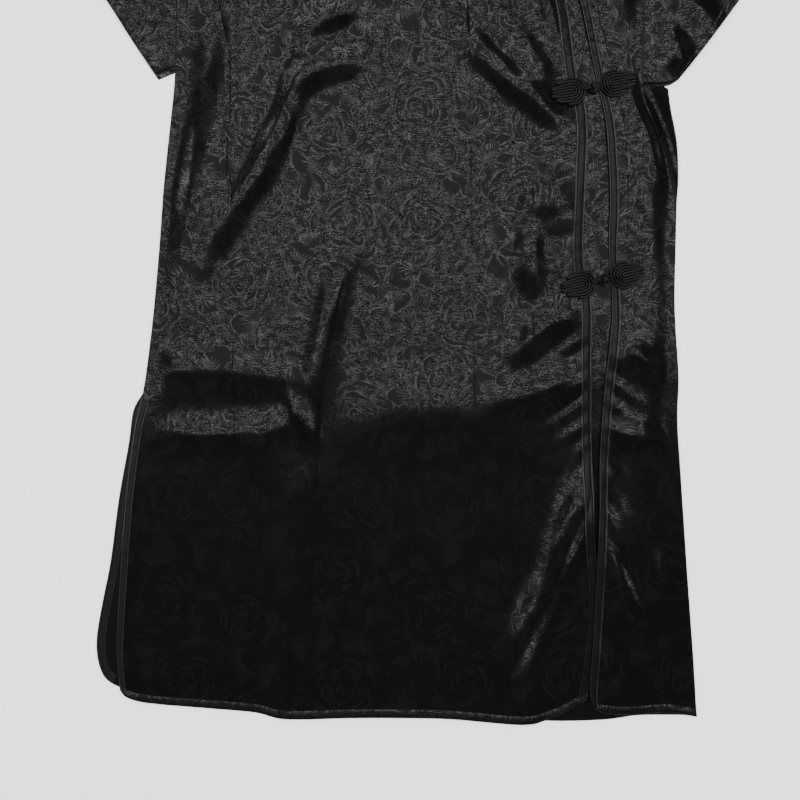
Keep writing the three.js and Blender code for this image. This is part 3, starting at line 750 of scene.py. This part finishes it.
def wing_route():
    """Flat route of the cord, head at x = 0 and strands running towards +x."""
    route, side = [], -1
    for k, (radius, reach, close) in enumerate(wing_rows):
        if k:
            route.append((reach - 1.2, side * (radius * close - 0.25)))
        else:
            route.append((reach, side * radius * close))
        route.append((HEAD + 0.5 * (reach - HEAD), side * radius * (1 + close) / 2))
        route += arc(HEAD, 0, radius, *((90, 270) if side > 0 else (270, 90)), 11)
        side = -side
        route.append((HEAD + 0.5 * (reach - HEAD), side * radius * (1 + close) / 2))
        route.append((reach - 1.2, side * (radius * close + 0.25)))
        if k + 1 < len(wing_rows):
            low, high = radius * close, wing_rows[k + 1][0] * wing_rows[k + 1][2]
            tip = (reach + wing_rows[k + 1][1]) / 2
            route += [
                (reach, side * (low + 0.5)), (tip, side * (low + high) / 2), (tip - 1.6, side * (high - 0.3)),
            ]
    return route


print("wing route,", len(wing_route()), "points")

# %% Cord along a route


def cord(name, points, radius, closed=False):
    """A smooth round cord through draft points (x, y, z, mm), with filled ends or closed into a ring."""
    data = bpy.data.curves.new(name, "CURVE")
    data.dimensions = "3D"
    data.bevel_depth = radius / 1000
    data.bevel_resolution = 2
    data.resolution_u = 3
    data.use_fill_caps = not closed
    line = data.splines.new("NURBS")
    line.points.add(len(points) - 1)
    for point, co in zip(line.points, placed(*np.array(points, float).T)):
        point.co = (*co, 1)
    line.use_endpoint_u, line.use_cyclic_u = not closed, closed
    line.order_u = 3
    shown = bpy.data.objects.new(name, data)
    bpy.context.collection.objects.link(shown)
    graph = bpy.context.evaluated_depsgraph_get()
    mesh = bpy.data.meshes.new_from_object(shown.evaluated_get(graph))
    bpy.data.objects.remove(shown)
    bm = bmesh.new()
    bm.from_mesh(mesh)
    bmesh.ops.remove_doubles(bm, verts=bm.verts, dist=1e-6)
    return object_from(bm, name)


def joined(name, parts):
    """Several pieces as one mesh."""
    bm = bmesh.new()
    for part in parts:
        bm.from_mesh(part.data)
        bpy.data.objects.remove(part)
    piece = object_from(bm, name)
    print(name, len(piece.data.polygons), "faces")
    return piece


def turned(points, fx, fy, degrees, base):
    """Local fastening points, turned and moved to a place on the cloth."""
    a = math.radians(degrees)
    return [
        (fx + x * math.cos(a) - y * math.sin(a), fy + x * math.sin(a) + y * math.cos(a), base + z)
        for x, y, z in points
    ]


# %% Fastenings
KNOT = 2.35  # mm, from the ball's middle to its windings
frog_pieces = {}
for number, (fx, fy, tilt) in enumerate(frogs, 1):
    for side, degrees in (("left", tilt + 180), ("right", tilt)):
        node = f"frog_{number}_wing_{side}"
        base = (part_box(node)[0][2]) * 1000
        route = [
            (WING_START + x, y, CORD / 2 + 0.9 * (1 - (y / 15) ** 2) * smooth(0, 8, np.float64(x)))
            for x, y in wing_route()
        ]
        piece = cord(f"{node}_cord", turned(route, fx, fy, degrees, base), CORD / 2)
        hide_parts(node)
        frog_pieces[node] = piece
    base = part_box(f"frog_{number}_loop")[0][2] * 1000
    ring = [(1 + x, y, 0.95) for x, y in arc(0, 0, 4.3, 25, 335, 22)]
    ring = [(7.5, 0.9, 0.8)] + ring + [(7.5, -0.9, 0.8)]
    loop = cord(f"frog_{number}_loop_cord", turned(ring, fx, fy, tilt, base), 0.9)
    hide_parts(f"frog_{number}_loop")
    frog_pieces[f"frog_{number}_loop"] = loop

    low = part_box(f"frog_{number}_knot")[0][2] * 1000
    middle = low + 3.0
    windings = []
    for axis, tip in ((0, 0), (1, 55), (2, 118)):
        for shift in (-1.15, 0.0, 1.15):
            radius = math.sqrt(KNOT**2 - shift**2)
            upright = Matrix.Rotation(math.radians(90 if axis else 0), 3, "X")
            turn = Matrix.Rotation(math.radians(tip), 3, "Z") @ upright
            ball = [
                turn @ Vector((radius * math.cos(a), radius * math.sin(a), shift))
                for a in np.linspace(0, 2 * math.pi, 14, endpoint=False)
            ]
            local = [(1 - p.x, p.y, p.z) for p in ball]
            windings.append(cord("winding", turned(local, fx, fy, tilt, middle), 0.62, closed=True))
    for offset in (-0.75, 0.75):
        stem = [(-x, offset, 0.0) for x in (1.5, 4.5, 7.5, 10.5)]
        windings.append(cord("stem", turned(stem, fx, fy, tilt, middle), 0.72))
    knot = joined(f"frog_{number}_knot_cord", windings)
    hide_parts(f"frog_{number}_knot")
    frog_pieces[f"frog_{number}_knot"] = knot

# %% [markdown]
# ## Stitches
#
# The topstitching is what makes cloth look sewn: a row beside each edge of every binding, along the
# hem and round the sleeves. Each stitch is a tiny five-sided prism of thread with flat ends, so a
# thousand of them stay light, and each row is laid by walking along its line at an even pitch.

# %% Rows of stitches
STITCH, PITCH, THREAD = 2.1, 2.9, 0.24  # mm


def stitch_row(bm, x, y, z):
    """Stitches at an even pitch along draft points."""
    p = placed(x, y, z + 0.05)
    run = np.concatenate([[0], np.cumsum(np.linalg.norm(np.diff(p, axis=0), axis=1))]) * 1000
    for start in np.arange(1, run[-1] - STITCH, PITCH):
        ends = [
            Vector([np.interp(d, run, column) for column in p.T]) for d in (start, start + STITCH)
        ]
        way = ends[1] - ends[0]
        turn = way.to_track_quat("Z", "Y").to_matrix().to_4x4()
        bmesh.ops.create_cone(
            bm, cap_ends=True, segments=5, radius1=THREAD / 1000, radius2=THREAD / 1000,
            depth=way.length, matrix=Matrix.Translation((ends[0] + ends[1]) / 2) @ turn,
        )


def panel_row(bm, cut, top, distance, t, lift=0.0):
    """A row at a distance from a panel's left side, or from its right side when negative."""
    s = distance / width_at(cut, t)
    x, y = patch(*cut, s if distance > 0 else 1 + s, t)
    stitch_row(bm, x, y, top(x, y) + lift)


def stitches(name, rows):
    bm = bmesh.new()
    for lay in rows:
        lay(bm)
    piece = object_from(bm, name, smoothed=False)
    print(name, len(piece.data.polygons), "faces")
    return piece


def hem_line(bm, cut, top, lengths):
    s = np.linspace(lengths[0], lengths[1], 300)
    t = np.full_like(s, HEM_DEPTH / PANEL)
    x, y = patch(*cut, s, t)
    stitch_row(bm, x, y, top(x, y) + hem_relief(t))


def sleeve_line(bm, plan):
    s = np.linspace(plan["fold_back"] / plan["armhole"].length + 0.01, 0.99, 90)
    t = np.full_like(s, 1 - SLEEVE_HEM / SLEEVE_REACH)
    x, y = patch(*sleeve_cut(plan), s, t)
    stitch_row(bm, x, y, sleeve_height(plan, x, y, s, t))


def slit_back_line(bm, share_across):
    x, y = side_step(back_slit, np.linspace(0.04, 0.98, 160), -SLIT_BAND * share_across)
    stitch_row(bm, x, y, np.full_like(x, BACK_BAND_LEVEL + BACK_BAND_RELIEF * 0.34))


band_lift = SEAM + 0.36
opening_stitches = stitches("opening_stitches", [
    lambda bm: panel_row(bm, wide_cut, front_top, -2, band_t, band_lift),
    lambda bm: panel_row(bm, wide_cut, front_top, -8, band_t, band_lift),
    lambda bm: panel_row(bm, narrow_cut, narrow_top, 2, band_t, band_lift),
    lambda bm: panel_row(bm, narrow_cut, narrow_top, 8, band_t, band_lift),
])
edge_stitches = stitches("edge_stitches", [
    lambda bm: panel_row(bm, wide_cut, front_top, 1.6, slit_t, band_lift),
    lambda bm: panel_row(bm, wide_cut, front_top, 6.4, slit_t, band_lift),
    lambda bm: slit_back_line(bm, 0.2),
    lambda bm: slit_back_line(bm, 0.8),
    lambda bm: hem_line(bm, wide_cut, front_top, (0.02, 0.97)),
    lambda bm: hem_line(bm, narrow_cut, narrow_top, (0.12, 0.98)),
    lambda bm: sleeve_line(bm, sleeves["left"]),
    lambda bm: sleeve_line(bm, sleeves["right"]),
])

# %% [markdown]
# ## Finishes
#
# The brocade is one black yarn in two weaves. The satin ground floats its threads and mirrors the light,
# and the flowers are woven the other way, so they stay duller. That makes the pattern a change of shine
# and relief more than of colour, which is why it shows light on dark in one place and dark on light in
# another. The shine is a thin coat whose weight changes from point to point over an almost dead black
# base. The coat's index is high, so that it mirrors well from above and doesn't turn white at a glancing
# look. The flowers are drawn by distances to scattered points: rings for the roses, discs for the leaves,
# cell borders for the stems. They are kept in a node group so that other cloth can use them.

# %% A short way to write node trees


class Tree:
    """Adds nodes to a tree and links or sets what they are given."""

    def __init__(self, tree):
        self.tree = tree

    def node(self, kind, inputs=(), **settings):
        made = self.tree.nodes.new(kind)
        for name, value in settings.items():
            setattr(made, name, value)
        for key, value in dict(inputs).items():
            if isinstance(value, bpy.types.NodeSocket):
                self.tree.links.new(value, made.inputs[key])
            else:
                made.inputs[key].default_value = value
        return made

    def math(self, operation, *values):
        return self.node("ShaderNodeMath", enumerate(values), operation=operation).outputs[0]

    def vector(self, operation, *values):
        return self.node("ShaderNodeVectorMath", enumerate(values), operation=operation).outputs[0]

    def scaled(self, vector, scale):
        made = self.node("ShaderNodeVectorMath", {0: vector, "Scale": scale}, operation="SCALE")
        return made.outputs[0]

    def step(self, value, low, high, to_low=0.0, to_high=1.0):
        """A soft step: to_low below low, to_high above high."""
        made = self.node("ShaderNodeMapRange", {
            "Value": value, "From Min": low, "From Max": high, "To Min": to_low, "To Max": to_high,
        }, interpolation_type="SMOOTHSTEP")
        return made.outputs[0]

    def mixed(self, share, zero, one):
        return self.node("ShaderNodeMix", {0: share, 2: zero, 3: one}).outputs[0]

    def bump(self, height, strength, distance):
        return self.node("ShaderNodeBump", {
            "Strength": strength, "Distance": distance, "Height": height,
        }).outputs[0]

    def noise(self, vector, scale, detail=2.0, roughness=0.5):
        return self.node("ShaderNodeTexNoise", {
            "Vector": vector, "Scale": scale, "Detail": detail, "Roughness": roughness,
        }).outputs[0]


def group(name, inputs, outputs):
    """An empty shader node group with named sockets, and its input and output nodes."""
    tree = bpy.data.node_groups.new(name, "ShaderNodeTree")
    for socket, kind in inputs:
        tree.interface.new_socket(socket, in_out="INPUT", socket_type=kind)
    for socket, kind in outputs:
        tree.interface.new_socket(socket, in_out="OUTPUT", socket_type=kind)
    return tree, tree.nodes.new("NodeGroupInput"), tree.nodes.new("NodeGroupOutput")


# %% Woven flowers
flowers, flowers_in, flowers_out = group(
    "woven flowers",
    [("Cloth", "NodeSocketVector")],
    [("Matt", "NodeSocketFloat"), ("Bright", "NodeSocketFloat")],
)
g = Tree(flowers)
cloth_mm = flowers_in.outputs[0]


def swayed(vector, scale, reach):
    """The same points drifting a few millimetres to and fro."""
    colour = g.node("ShaderNodeTexNoise", {"Vector": cloth_mm, "Scale": scale, "Detail": 1.5}).outputs[1]
    return g.vector("ADD", vector, g.scaled(g.vector("SUBTRACT", colour, (0.5, 0.5, 0.5)), reach))


drawn = swayed(swayed(cloth_mm, 0.035, 30.0), 0.22, 4.0)
drawn_gently = swayed(cloth_mm, 0.02, 26.0)
combed = g.noise(g.vector("MULTIPLY", cloth_mm, (0.22, 1.5, 1.0)), 1.0, 1.0)
combed = g.math("MULTIPLY", g.math("SUBTRACT", combed, 0.5), 3.4)


def scatter(where, scale, randomness):
    """Distance and offset from the nearest scattered point, turned its own way, in mm, and its colour."""
    cells = g.node("ShaderNodeTexVoronoi", {
        "Vector": where, "Scale": 1 / scale, "Randomness": randomness,
    }, voronoi_dimensions="2D")
    offset = g.vector("SUBTRACT", where, cells.outputs["Position"])
    random = g.node("ShaderNodeSeparateColor", {0: cells.outputs["Color"]}).outputs
    own_way = g.node("ShaderNodeVectorRotate", {
        "Vector": offset, "Angle": g.math("MULTIPLY", random[2], 6.28),
    }, rotation_type="Z_AXIS").outputs[0]
    parts = g.node("ShaderNodeSeparateXYZ", {0: own_way}).outputs
    return g.math("MULTIPLY", cells.outputs["Distance"], scale), parts, random


def wave(angle, lobes, shift, height):
    inner = g.math("ADD", g.math("MULTIPLY", angle, lobes), shift)
    return g.math("MULTIPLY", g.math("SINE", inner), height)


def inside(limit, distance, softness=0.7):
    """1 where distance is less than limit, with the ragged edge that the weft gives."""
    margin = g.math("ADD", g.math("SUBTRACT", limit, distance), combed)
    return g.step(margin, -softness, softness)


def petals(scale, smallest, spread_by, share, veins_share):
    """Round petals with veins that fan out from their foot; returns the petals and the veins."""
    _, at, random = scatter(drawn, scale, 0.95)
    tall = g.math("MULTIPLY", at[1], 1.28)
    across = g.math("SQRT", g.math("ADD", g.math("POWER", at[0], 2.0), g.math("POWER", tall, 2.0)))
    size = g.math("ADD", g.math("MULTIPLY", random[0], spread_by), smallest)
    there = g.step(random[1], 1 - share, 1.02 - share)
    within = g.math("MULTIPLY", inside(size, across), there)
    margin = g.math("ADD", g.math("SUBTRACT", size, across), combed)
    edge_line = g.step(g.math("ABSOLUTE", g.math("ADD", margin, 0.9)), 0.3, 1.0, 1.0, 0.0)
    fan = g.math("ARCTAN2", g.math("ADD", at[1], scale * 0.36), at[0])
    fanned = g.step(wave(fan, 19, 0.0, 1.0), -0.1, 0.6)
    foot = g.step(at[1], -scale * 0.12, scale * 0.08, 1.0, 0.0)
    fanned = g.math("MULTIPLY", g.math("MULTIPLY", fanned, foot), veins_share)
    return within, g.math("MULTIPLY", fanned, within), g.math("MULTIPLY", edge_line, there)


# roses: rings of overlapping petals, each petal's shadow a crescent that thins out at both ends
rose_r, rose_at, rose_random = scatter(drawn_gently, 84, 0.55)
rose_angle = g.math("ARCTAN2", rose_at[1], rose_at[0])
rim = g.math("ADD", wave(rose_angle, 5, g.math("MULTIPLY", rose_random[0], 6.0), 3.0), 30.0)
in_rose = inside(rim, rose_r)
rings = g.math("DIVIDE", g.math("ADD", rose_r, g.math("MULTIPLY", combed, 0.8)), 5.8)
rings = g.math("ADD", rings, wave(rose_angle, 3, g.math("MULTIPLY", rose_random[1], 6.0), 0.34))
ring_number = g.math("FLOOR", rings)
ring_share = g.math("FRACT", rings)
in_ring = g.math("ADD", g.math("FLOOR", g.math("MULTIPLY", ring_number, 0.5)), 2.0)
turn = g.math("ADD", g.math("MULTIPLY", rose_angle, in_ring), g.math("MULTIPLY", ring_number, 2.4))
arc_width = g.math("MULTIPLY", g.math("ADD", g.math("SINE", turn), 0.35), 0.42)
crescents = g.math("MULTIPLY", g.step(g.math("SUBTRACT", arc_width, ring_share), -0.05, 0.05), in_rose)
free = g.math("SUBTRACT", 1.0, in_rose)

big, big_veins, big_edges = petals(25, 8.0, 4.5, 0.8, 1.0)
small, small_veins, small_edges = petals(13, 3.0, 2.8, 0.5, 0.8)
ring_edges = g.math("ABSOLUTE", g.math("SUBTRACT", g.math("SUBTRACT", ring_share, arc_width), 0.12))
ring_edges = g.math("MULTIPLY", g.step(ring_edges, 0.05, 0.13, 1.0, 0.0), g.step(arc_width, 0.0, 0.1))
ring_edges = g.math("MULTIPLY", ring_edges, in_rose)

# stems: light and thin, with a dull line at each side
cells = g.node("ShaderNodeTexVoronoi", {
    "Vector": drawn, "Scale": 1 / 44, "Randomness": 1.0,
}, voronoi_dimensions="2D", feature="DISTANCE_TO_EDGE")
stem_d = g.math("MULTIPLY", cells.outputs["Distance"], 44.0)
stem_there = g.step(g.noise(cloth_mm, 0.035, 1.0), 0.5, 0.56)
stem_line = g.math("MULTIPLY", g.step(stem_d, 0.35, 0.8, 1.0, 0.0), stem_there)
stem_edge = g.step(g.math("ABSOLUTE", g.math("SUBTRACT", stem_d, 1.6)), 0.3, 0.9, 1.0, 0.0)
stem_edge = g.math("MULTIPLY", stem_edge, stem_there)

# scraps: short dull dashes between the flowers
scraps = g.noise(g.vector("MULTIPLY", drawn, (1.0, 1.5, 1.0)), 0.16, 2.0, 0.6)
scraps = g.step(scraps, 0.57, 0.62)

matt = g.math("MULTIPLY", g.math("SUBTRACT", big, big_veins), free)
for part in (
    crescents,
    g.math("MULTIPLY", g.math("SUBTRACT", small, small_veins), 0.8),
    g.math("MULTIPLY", g.math("MULTIPLY", stem_edge, free), 0.8),
    g.math("MULTIPLY", scraps, 0.3),
):
    matt = g.math("MAXIMUM", matt, part)
stem_line = g.math("MULTIPLY", stem_line, free)
matt = g.math("SUBTRACT", matt, g.math("MULTIPLY", stem_line, matt))
flowers.links.new(matt, flowers_out.inputs["Matt"])
bright = g.math("MULTIPLY", g.math("MAXIMUM", big_veins, big_edges), free)
for part in (small_veins, g.math("MULTIPLY", small_edges, 0.5), ring_edges, stem_line):
    bright = g.math("MAXIMUM", bright, part)
# a line is only caught by the light here and there
bright = g.math("MULTIPLY", bright, g.step(g.noise(cloth_mm, 0.11, 2.0), 0.42, 0.6, 0.35, 1.0))
flowers.links.new(bright, flowers_out.inputs["Bright"])
print("woven flowers:", len(flowers.nodes), "nodes")

# %% Satin weave
weave, weave_in, weave_out = group(
    "satin weave",
    [("Cloth", "NodeSocketVector")],
    [("Glint", "NodeSocketFloat")],
)
w = Tree(weave)
lengthened = w.vector("MULTIPLY", weave_in.outputs[0], (0.85, 1.15, 1.0))
crinkle = w.noise(lengthened, 0.8, 2.0, 0.9)
patches = w.noise(weave_in.outputs[0], 0.16, 2.0, 0.6)
weft = w.noise(w.vector("MULTIPLY", weave_in.outputs[0], (0.14, 1.0, 1.0)), 0.9, 1.0)
threads = w.math("ADD", w.math("MULTIPLY", crinkle, 0.64), w.math("MULTIPLY", weft, 0.16))
weave.links.new(w.math("ADD", threads, w.math("MULTIPLY", patches, 0.2)), weave_out.inputs["Glint"])

# %% Materials


def material(name, roughness=0.5, base=(0.01, 0.01, 0.01), specular=0.5):
    made = bpy.data.materials.new(name)
    made.use_nodes = True
    shader = made.node_tree.nodes["Principled BSDF"]
    shader.inputs["Base Color"].default_value = (*base, 1)
    shader.inputs["Roughness"].default_value = roughness
    shader.inputs["Specular IOR Level"].default_value = specular
    shader.inputs["Coat IOR"].default_value = 2.5
    return made, Tree(made.node_tree), shader


def brocade():
    made, m, shader = material("black brocade", specular=0.06)
    shader.inputs["Coat Roughness"].default_value = 0.18
    uv = m.node("ShaderNodeUVMap", uv_map="cut").outputs[0]
    mm = m.scaled(uv, 1000.0)
    pattern = m.node("ShaderNodeGroup", node_tree=flowers)
    satin = m.node("ShaderNodeGroup", node_tree=weave)
    for used in (pattern, satin):
        made.node_tree.links.new(mm, used.inputs[0])
    dull, bright = pattern.outputs
    glint = satin.outputs[0]
    rough = m.mixed(dull, 0.22, 0.34)
    lively = m.step(glint, 0.46, 0.64, 0.0, 1.0)
    shine = m.mixed(dull, lively, m.step(glint, 0.3, 0.7, 0.02, 0.12))
    shine = m.mixed(m.math("MULTIPLY", bright, m.step(glint, 0.36, 0.55)), shine, 0.75)
    ground, flower = (0.0023, 0.0025, 0.0025, 1), (0.0030, 0.0038, 0.0035, 1)
    colour = m.node("ShaderNodeMix", {0: dull, 6: ground, 7: flower}, data_type="RGBA").outputs[2]
    relief = m.math("MULTIPLY", m.math("SUBTRACT", bright, dull), 0.25)
    bump = m.bump(m.math("ADD", m.math("MULTIPLY", glint, 1.6), relief), 0.2, 0.0002)
    ends = {"Base Color": colour, "Roughness": rough, "Coat Weight": shine, "Normal": bump}
    for socket, value in ends.items():
        made.node_tree.links.new(value, shader.inputs[socket])
    return made


def plain(name, roughness, base, specular, scale, strength, distance):
    """A plain finish with a fine grain in the object's own coordinates."""
    made, m, shader = material(name, roughness, base, specular)
    where = m.node("ShaderNodeTexCoord").outputs["Object"]
    grain = m.noise(where, scale, 3.0)
    made.node_tree.links.new(m.bump(grain, strength, distance), shader.inputs["Normal"])
    return made


def bias_satin(name, base):
    """Plain satin, brighter where a binding rolls at its edges and darker along its two rows of stitches."""
    made, m, shader = material(name, 0.4, base, 0.06)
    shader.inputs["Coat Roughness"].default_value = 0.34
    uv = m.node("ShaderNodeUVMap", uv_map="cut").outputs[0]
    across = m.node("ShaderNodeSeparateXYZ", {0: m.scaled(uv, 1000.0)}).outputs[0]
    from_middle = m.math("ABSOLUTE", m.math("SUBTRACT", across, 5.0))
    grain = m.noise(m.scaled(uv, 1000.0), 0.6, 3.0, 0.6)
    rolls = m.step(from_middle, 3.3, 3.7)
    furrow = m.step(m.math("ABSOLUTE", m.math("SUBTRACT", from_middle, 2.9)), 0.3, 0.7, 1.0, 0.0)
    shine = m.mixed(rolls, m.step(grain, 0.35, 0.65, 0.12, 0.28), m.step(grain, 0.35, 0.65, 0.4, 0.9))
    shine = m.mixed(furrow, shine, 0.0)
    for socket, value in (("Coat Weight", shine), ("Normal", m.bump(grain, 0.2, 0.0002))):
        made.node_tree.links.new(value, shader.inputs[socket])
    return made


brocade_black = brocade()
reverse_black = plain("reverse of the brocade", 0.3, (0.0022, 0.0024, 0.0024), 0.5, 600, 0.25, 0.0002)
satin_black = bias_satin("plain satin", (0.0024, 0.0026, 0.0027))
# The slit's bindings get a lighter base colour than the opening's. This is painted sheen, standing in for the
# light that their satin catches.
satin_painted_sheen = bias_satin("plain satin, painted sheen", (0.0046, 0.0048, 0.0051))
cord_black = plain("satin cord", 0.22, (0.0022, 0.0022, 0.0024), 0.46, 900, 0.45, 0.0003)
thread_black = plain("thread", 0.5, (0.003, 0.003, 0.0032), 0.5, 1500, 0.2, 0.0001)
backdrop_cloth = plain("pale backdrop", 0.9, (0.89, 0.895, 0.815), 0.2, 400, 0.15, 0.0004)

# %% Which finish each piece takes, and which solid it stands for
body_pieces = {
    "front_wide": wide_front, "front_narrow": narrow_front, "back": back, "underlap": underlap,
    "sleeve_left": sleeve_pieces["left"], "sleeve_right": sleeve_pieces["right"], "collar": collar,
}
band_pieces = {
    "binding_wide_opening": band_wide, "binding_narrow_opening": band_narrow,
    "binding_slit_front": band_slit_front, "binding_slit_back": band_slit_back,
}
for finish, slot_name, pieces in (
    (brocade_black, "brocade", body_pieces), (satin_black, "satin", band_pieces),
):
    for node, piece in pieces.items():
        if piece is back:
            piece.data.materials.append(reverse_black)
        # the slit's bindings take the satin whose lighter base is painted sheen
        piece.data.materials.append(satin_painted_sheen if "slit" in node else finish)
        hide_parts(node)
        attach(piece, "root")
for piece in frog_pieces.values():
    piece.data.materials.append(cord_black)
    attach(piece, "root")
for piece in allowances:
    piece.data.materials.append(reverse_black)
    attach(piece, "root")
for piece in (opening_stitches, edge_stitches):
    piece.data.materials.append(thread_black)
    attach(piece, "root")

# %% [markdown]
# ## Surface, light and camera
#
# The garment lies on pale cloth. Black satin is a mirror, so the lights are placed by what it mirrors:
# four large soft panels hang level above and beyond the neck end with dark gaps between them, and their
# near edges decide where the cloth turns from grey to black. A long panel low past the hem and one low on
# the right light only the steep sides of folds, and draw thin bright lines along them. A fill overhead
# lights the surface and is kept out of the satin's reflections, as a flag would keep it in a studio.

# %% Surface
bm = bmesh.new()
bmesh.ops.create_grid(bm, x_segments=1, y_segments=1, size=12)
surface = object_from(bm, "surface", smoothed=False)
surface.location.z = -0.0002
surface.data.materials.append(backdrop_cloth)

# %% Lights and camera
CX, CY = -0.0216, -0.142  # the middle of the picture, m


def area_light(name, location, aim, size, watts):
    light = bpy.data.lights.new(name, "AREA")
    light.shape, light.size, light.size_y, light.energy = "RECTANGLE", *size, watts
    lamp = bpy.data.objects.new(name, light)
    lamp.location = location
    lamp.rotation_euler = (Vector(aim) - Vector(location)).to_track_quat("-Z", "Y").to_euler()
    bpy.context.collection.objects.link(lamp)
    return lamp


# name, place, point that it faces, width and length, watts; places are from the middle of the picture
lamps = [
    ("key", (0.05, 0.645, 1.6), (0.05, 0.6451, 0), (2.1, 1.17), 6.4),
    ("key, near left", (-1.45, 0.17, 1.6), (-1.45, 0.1701, 0), (0.9, 0.22), 0.6),
    ("key, left", (-3.2, 0.645, 1.6), (-3.2, 0.6451, 0), (2.6, 1.17), 17),
    ("key, far", (-1.55, 3.0, 1.6), (-1.55, 3.0001, 0), (4.9, 3.2), 56),
    ("hem side", (0.5, -3.2, 1.5), (0, 0, 0), (8.0, 2.0), 50),
    ("right side", (3.6, 0.6, 0.9), (0, 0, 0), (4.6, 1.4), 26),
    ("fill", (0, 0, 3), (0, 0.0001, 0), (3, 3), 270),
]
for name, (x, y, z), (aim_x, aim_y, aim_z), size, watts in lamps:
    lamp = area_light(name, (CX + x, CY + y, z), (CX + aim_x, CY + aim_y, aim_z), size, watts)
    lamp.visible_glossy = name != "fill"
print(len(lamps), "soft lights")

world = bpy.data.worlds.new("soft room")
bpy.context.scene.world = world
world.use_nodes = True
world.node_tree.nodes["Background"].inputs["Color"].default_value = (0.95, 0.97, 1.0, 1)
world.node_tree.nodes["Background"].inputs["Strength"].default_value = 0.012

lens = bpy.data.cameras.new("camera")
lens.sensor_width = 36
lens.lens = 18 * 1145 / 352  # 352 mm to each side of the middle at 1145 mm
camera = bpy.data.objects.new("camera", lens)
camera.location = (CX, CY, 1.15)
bpy.context.collection.objects.link(camera)
bpy.context.scene.camera = camera
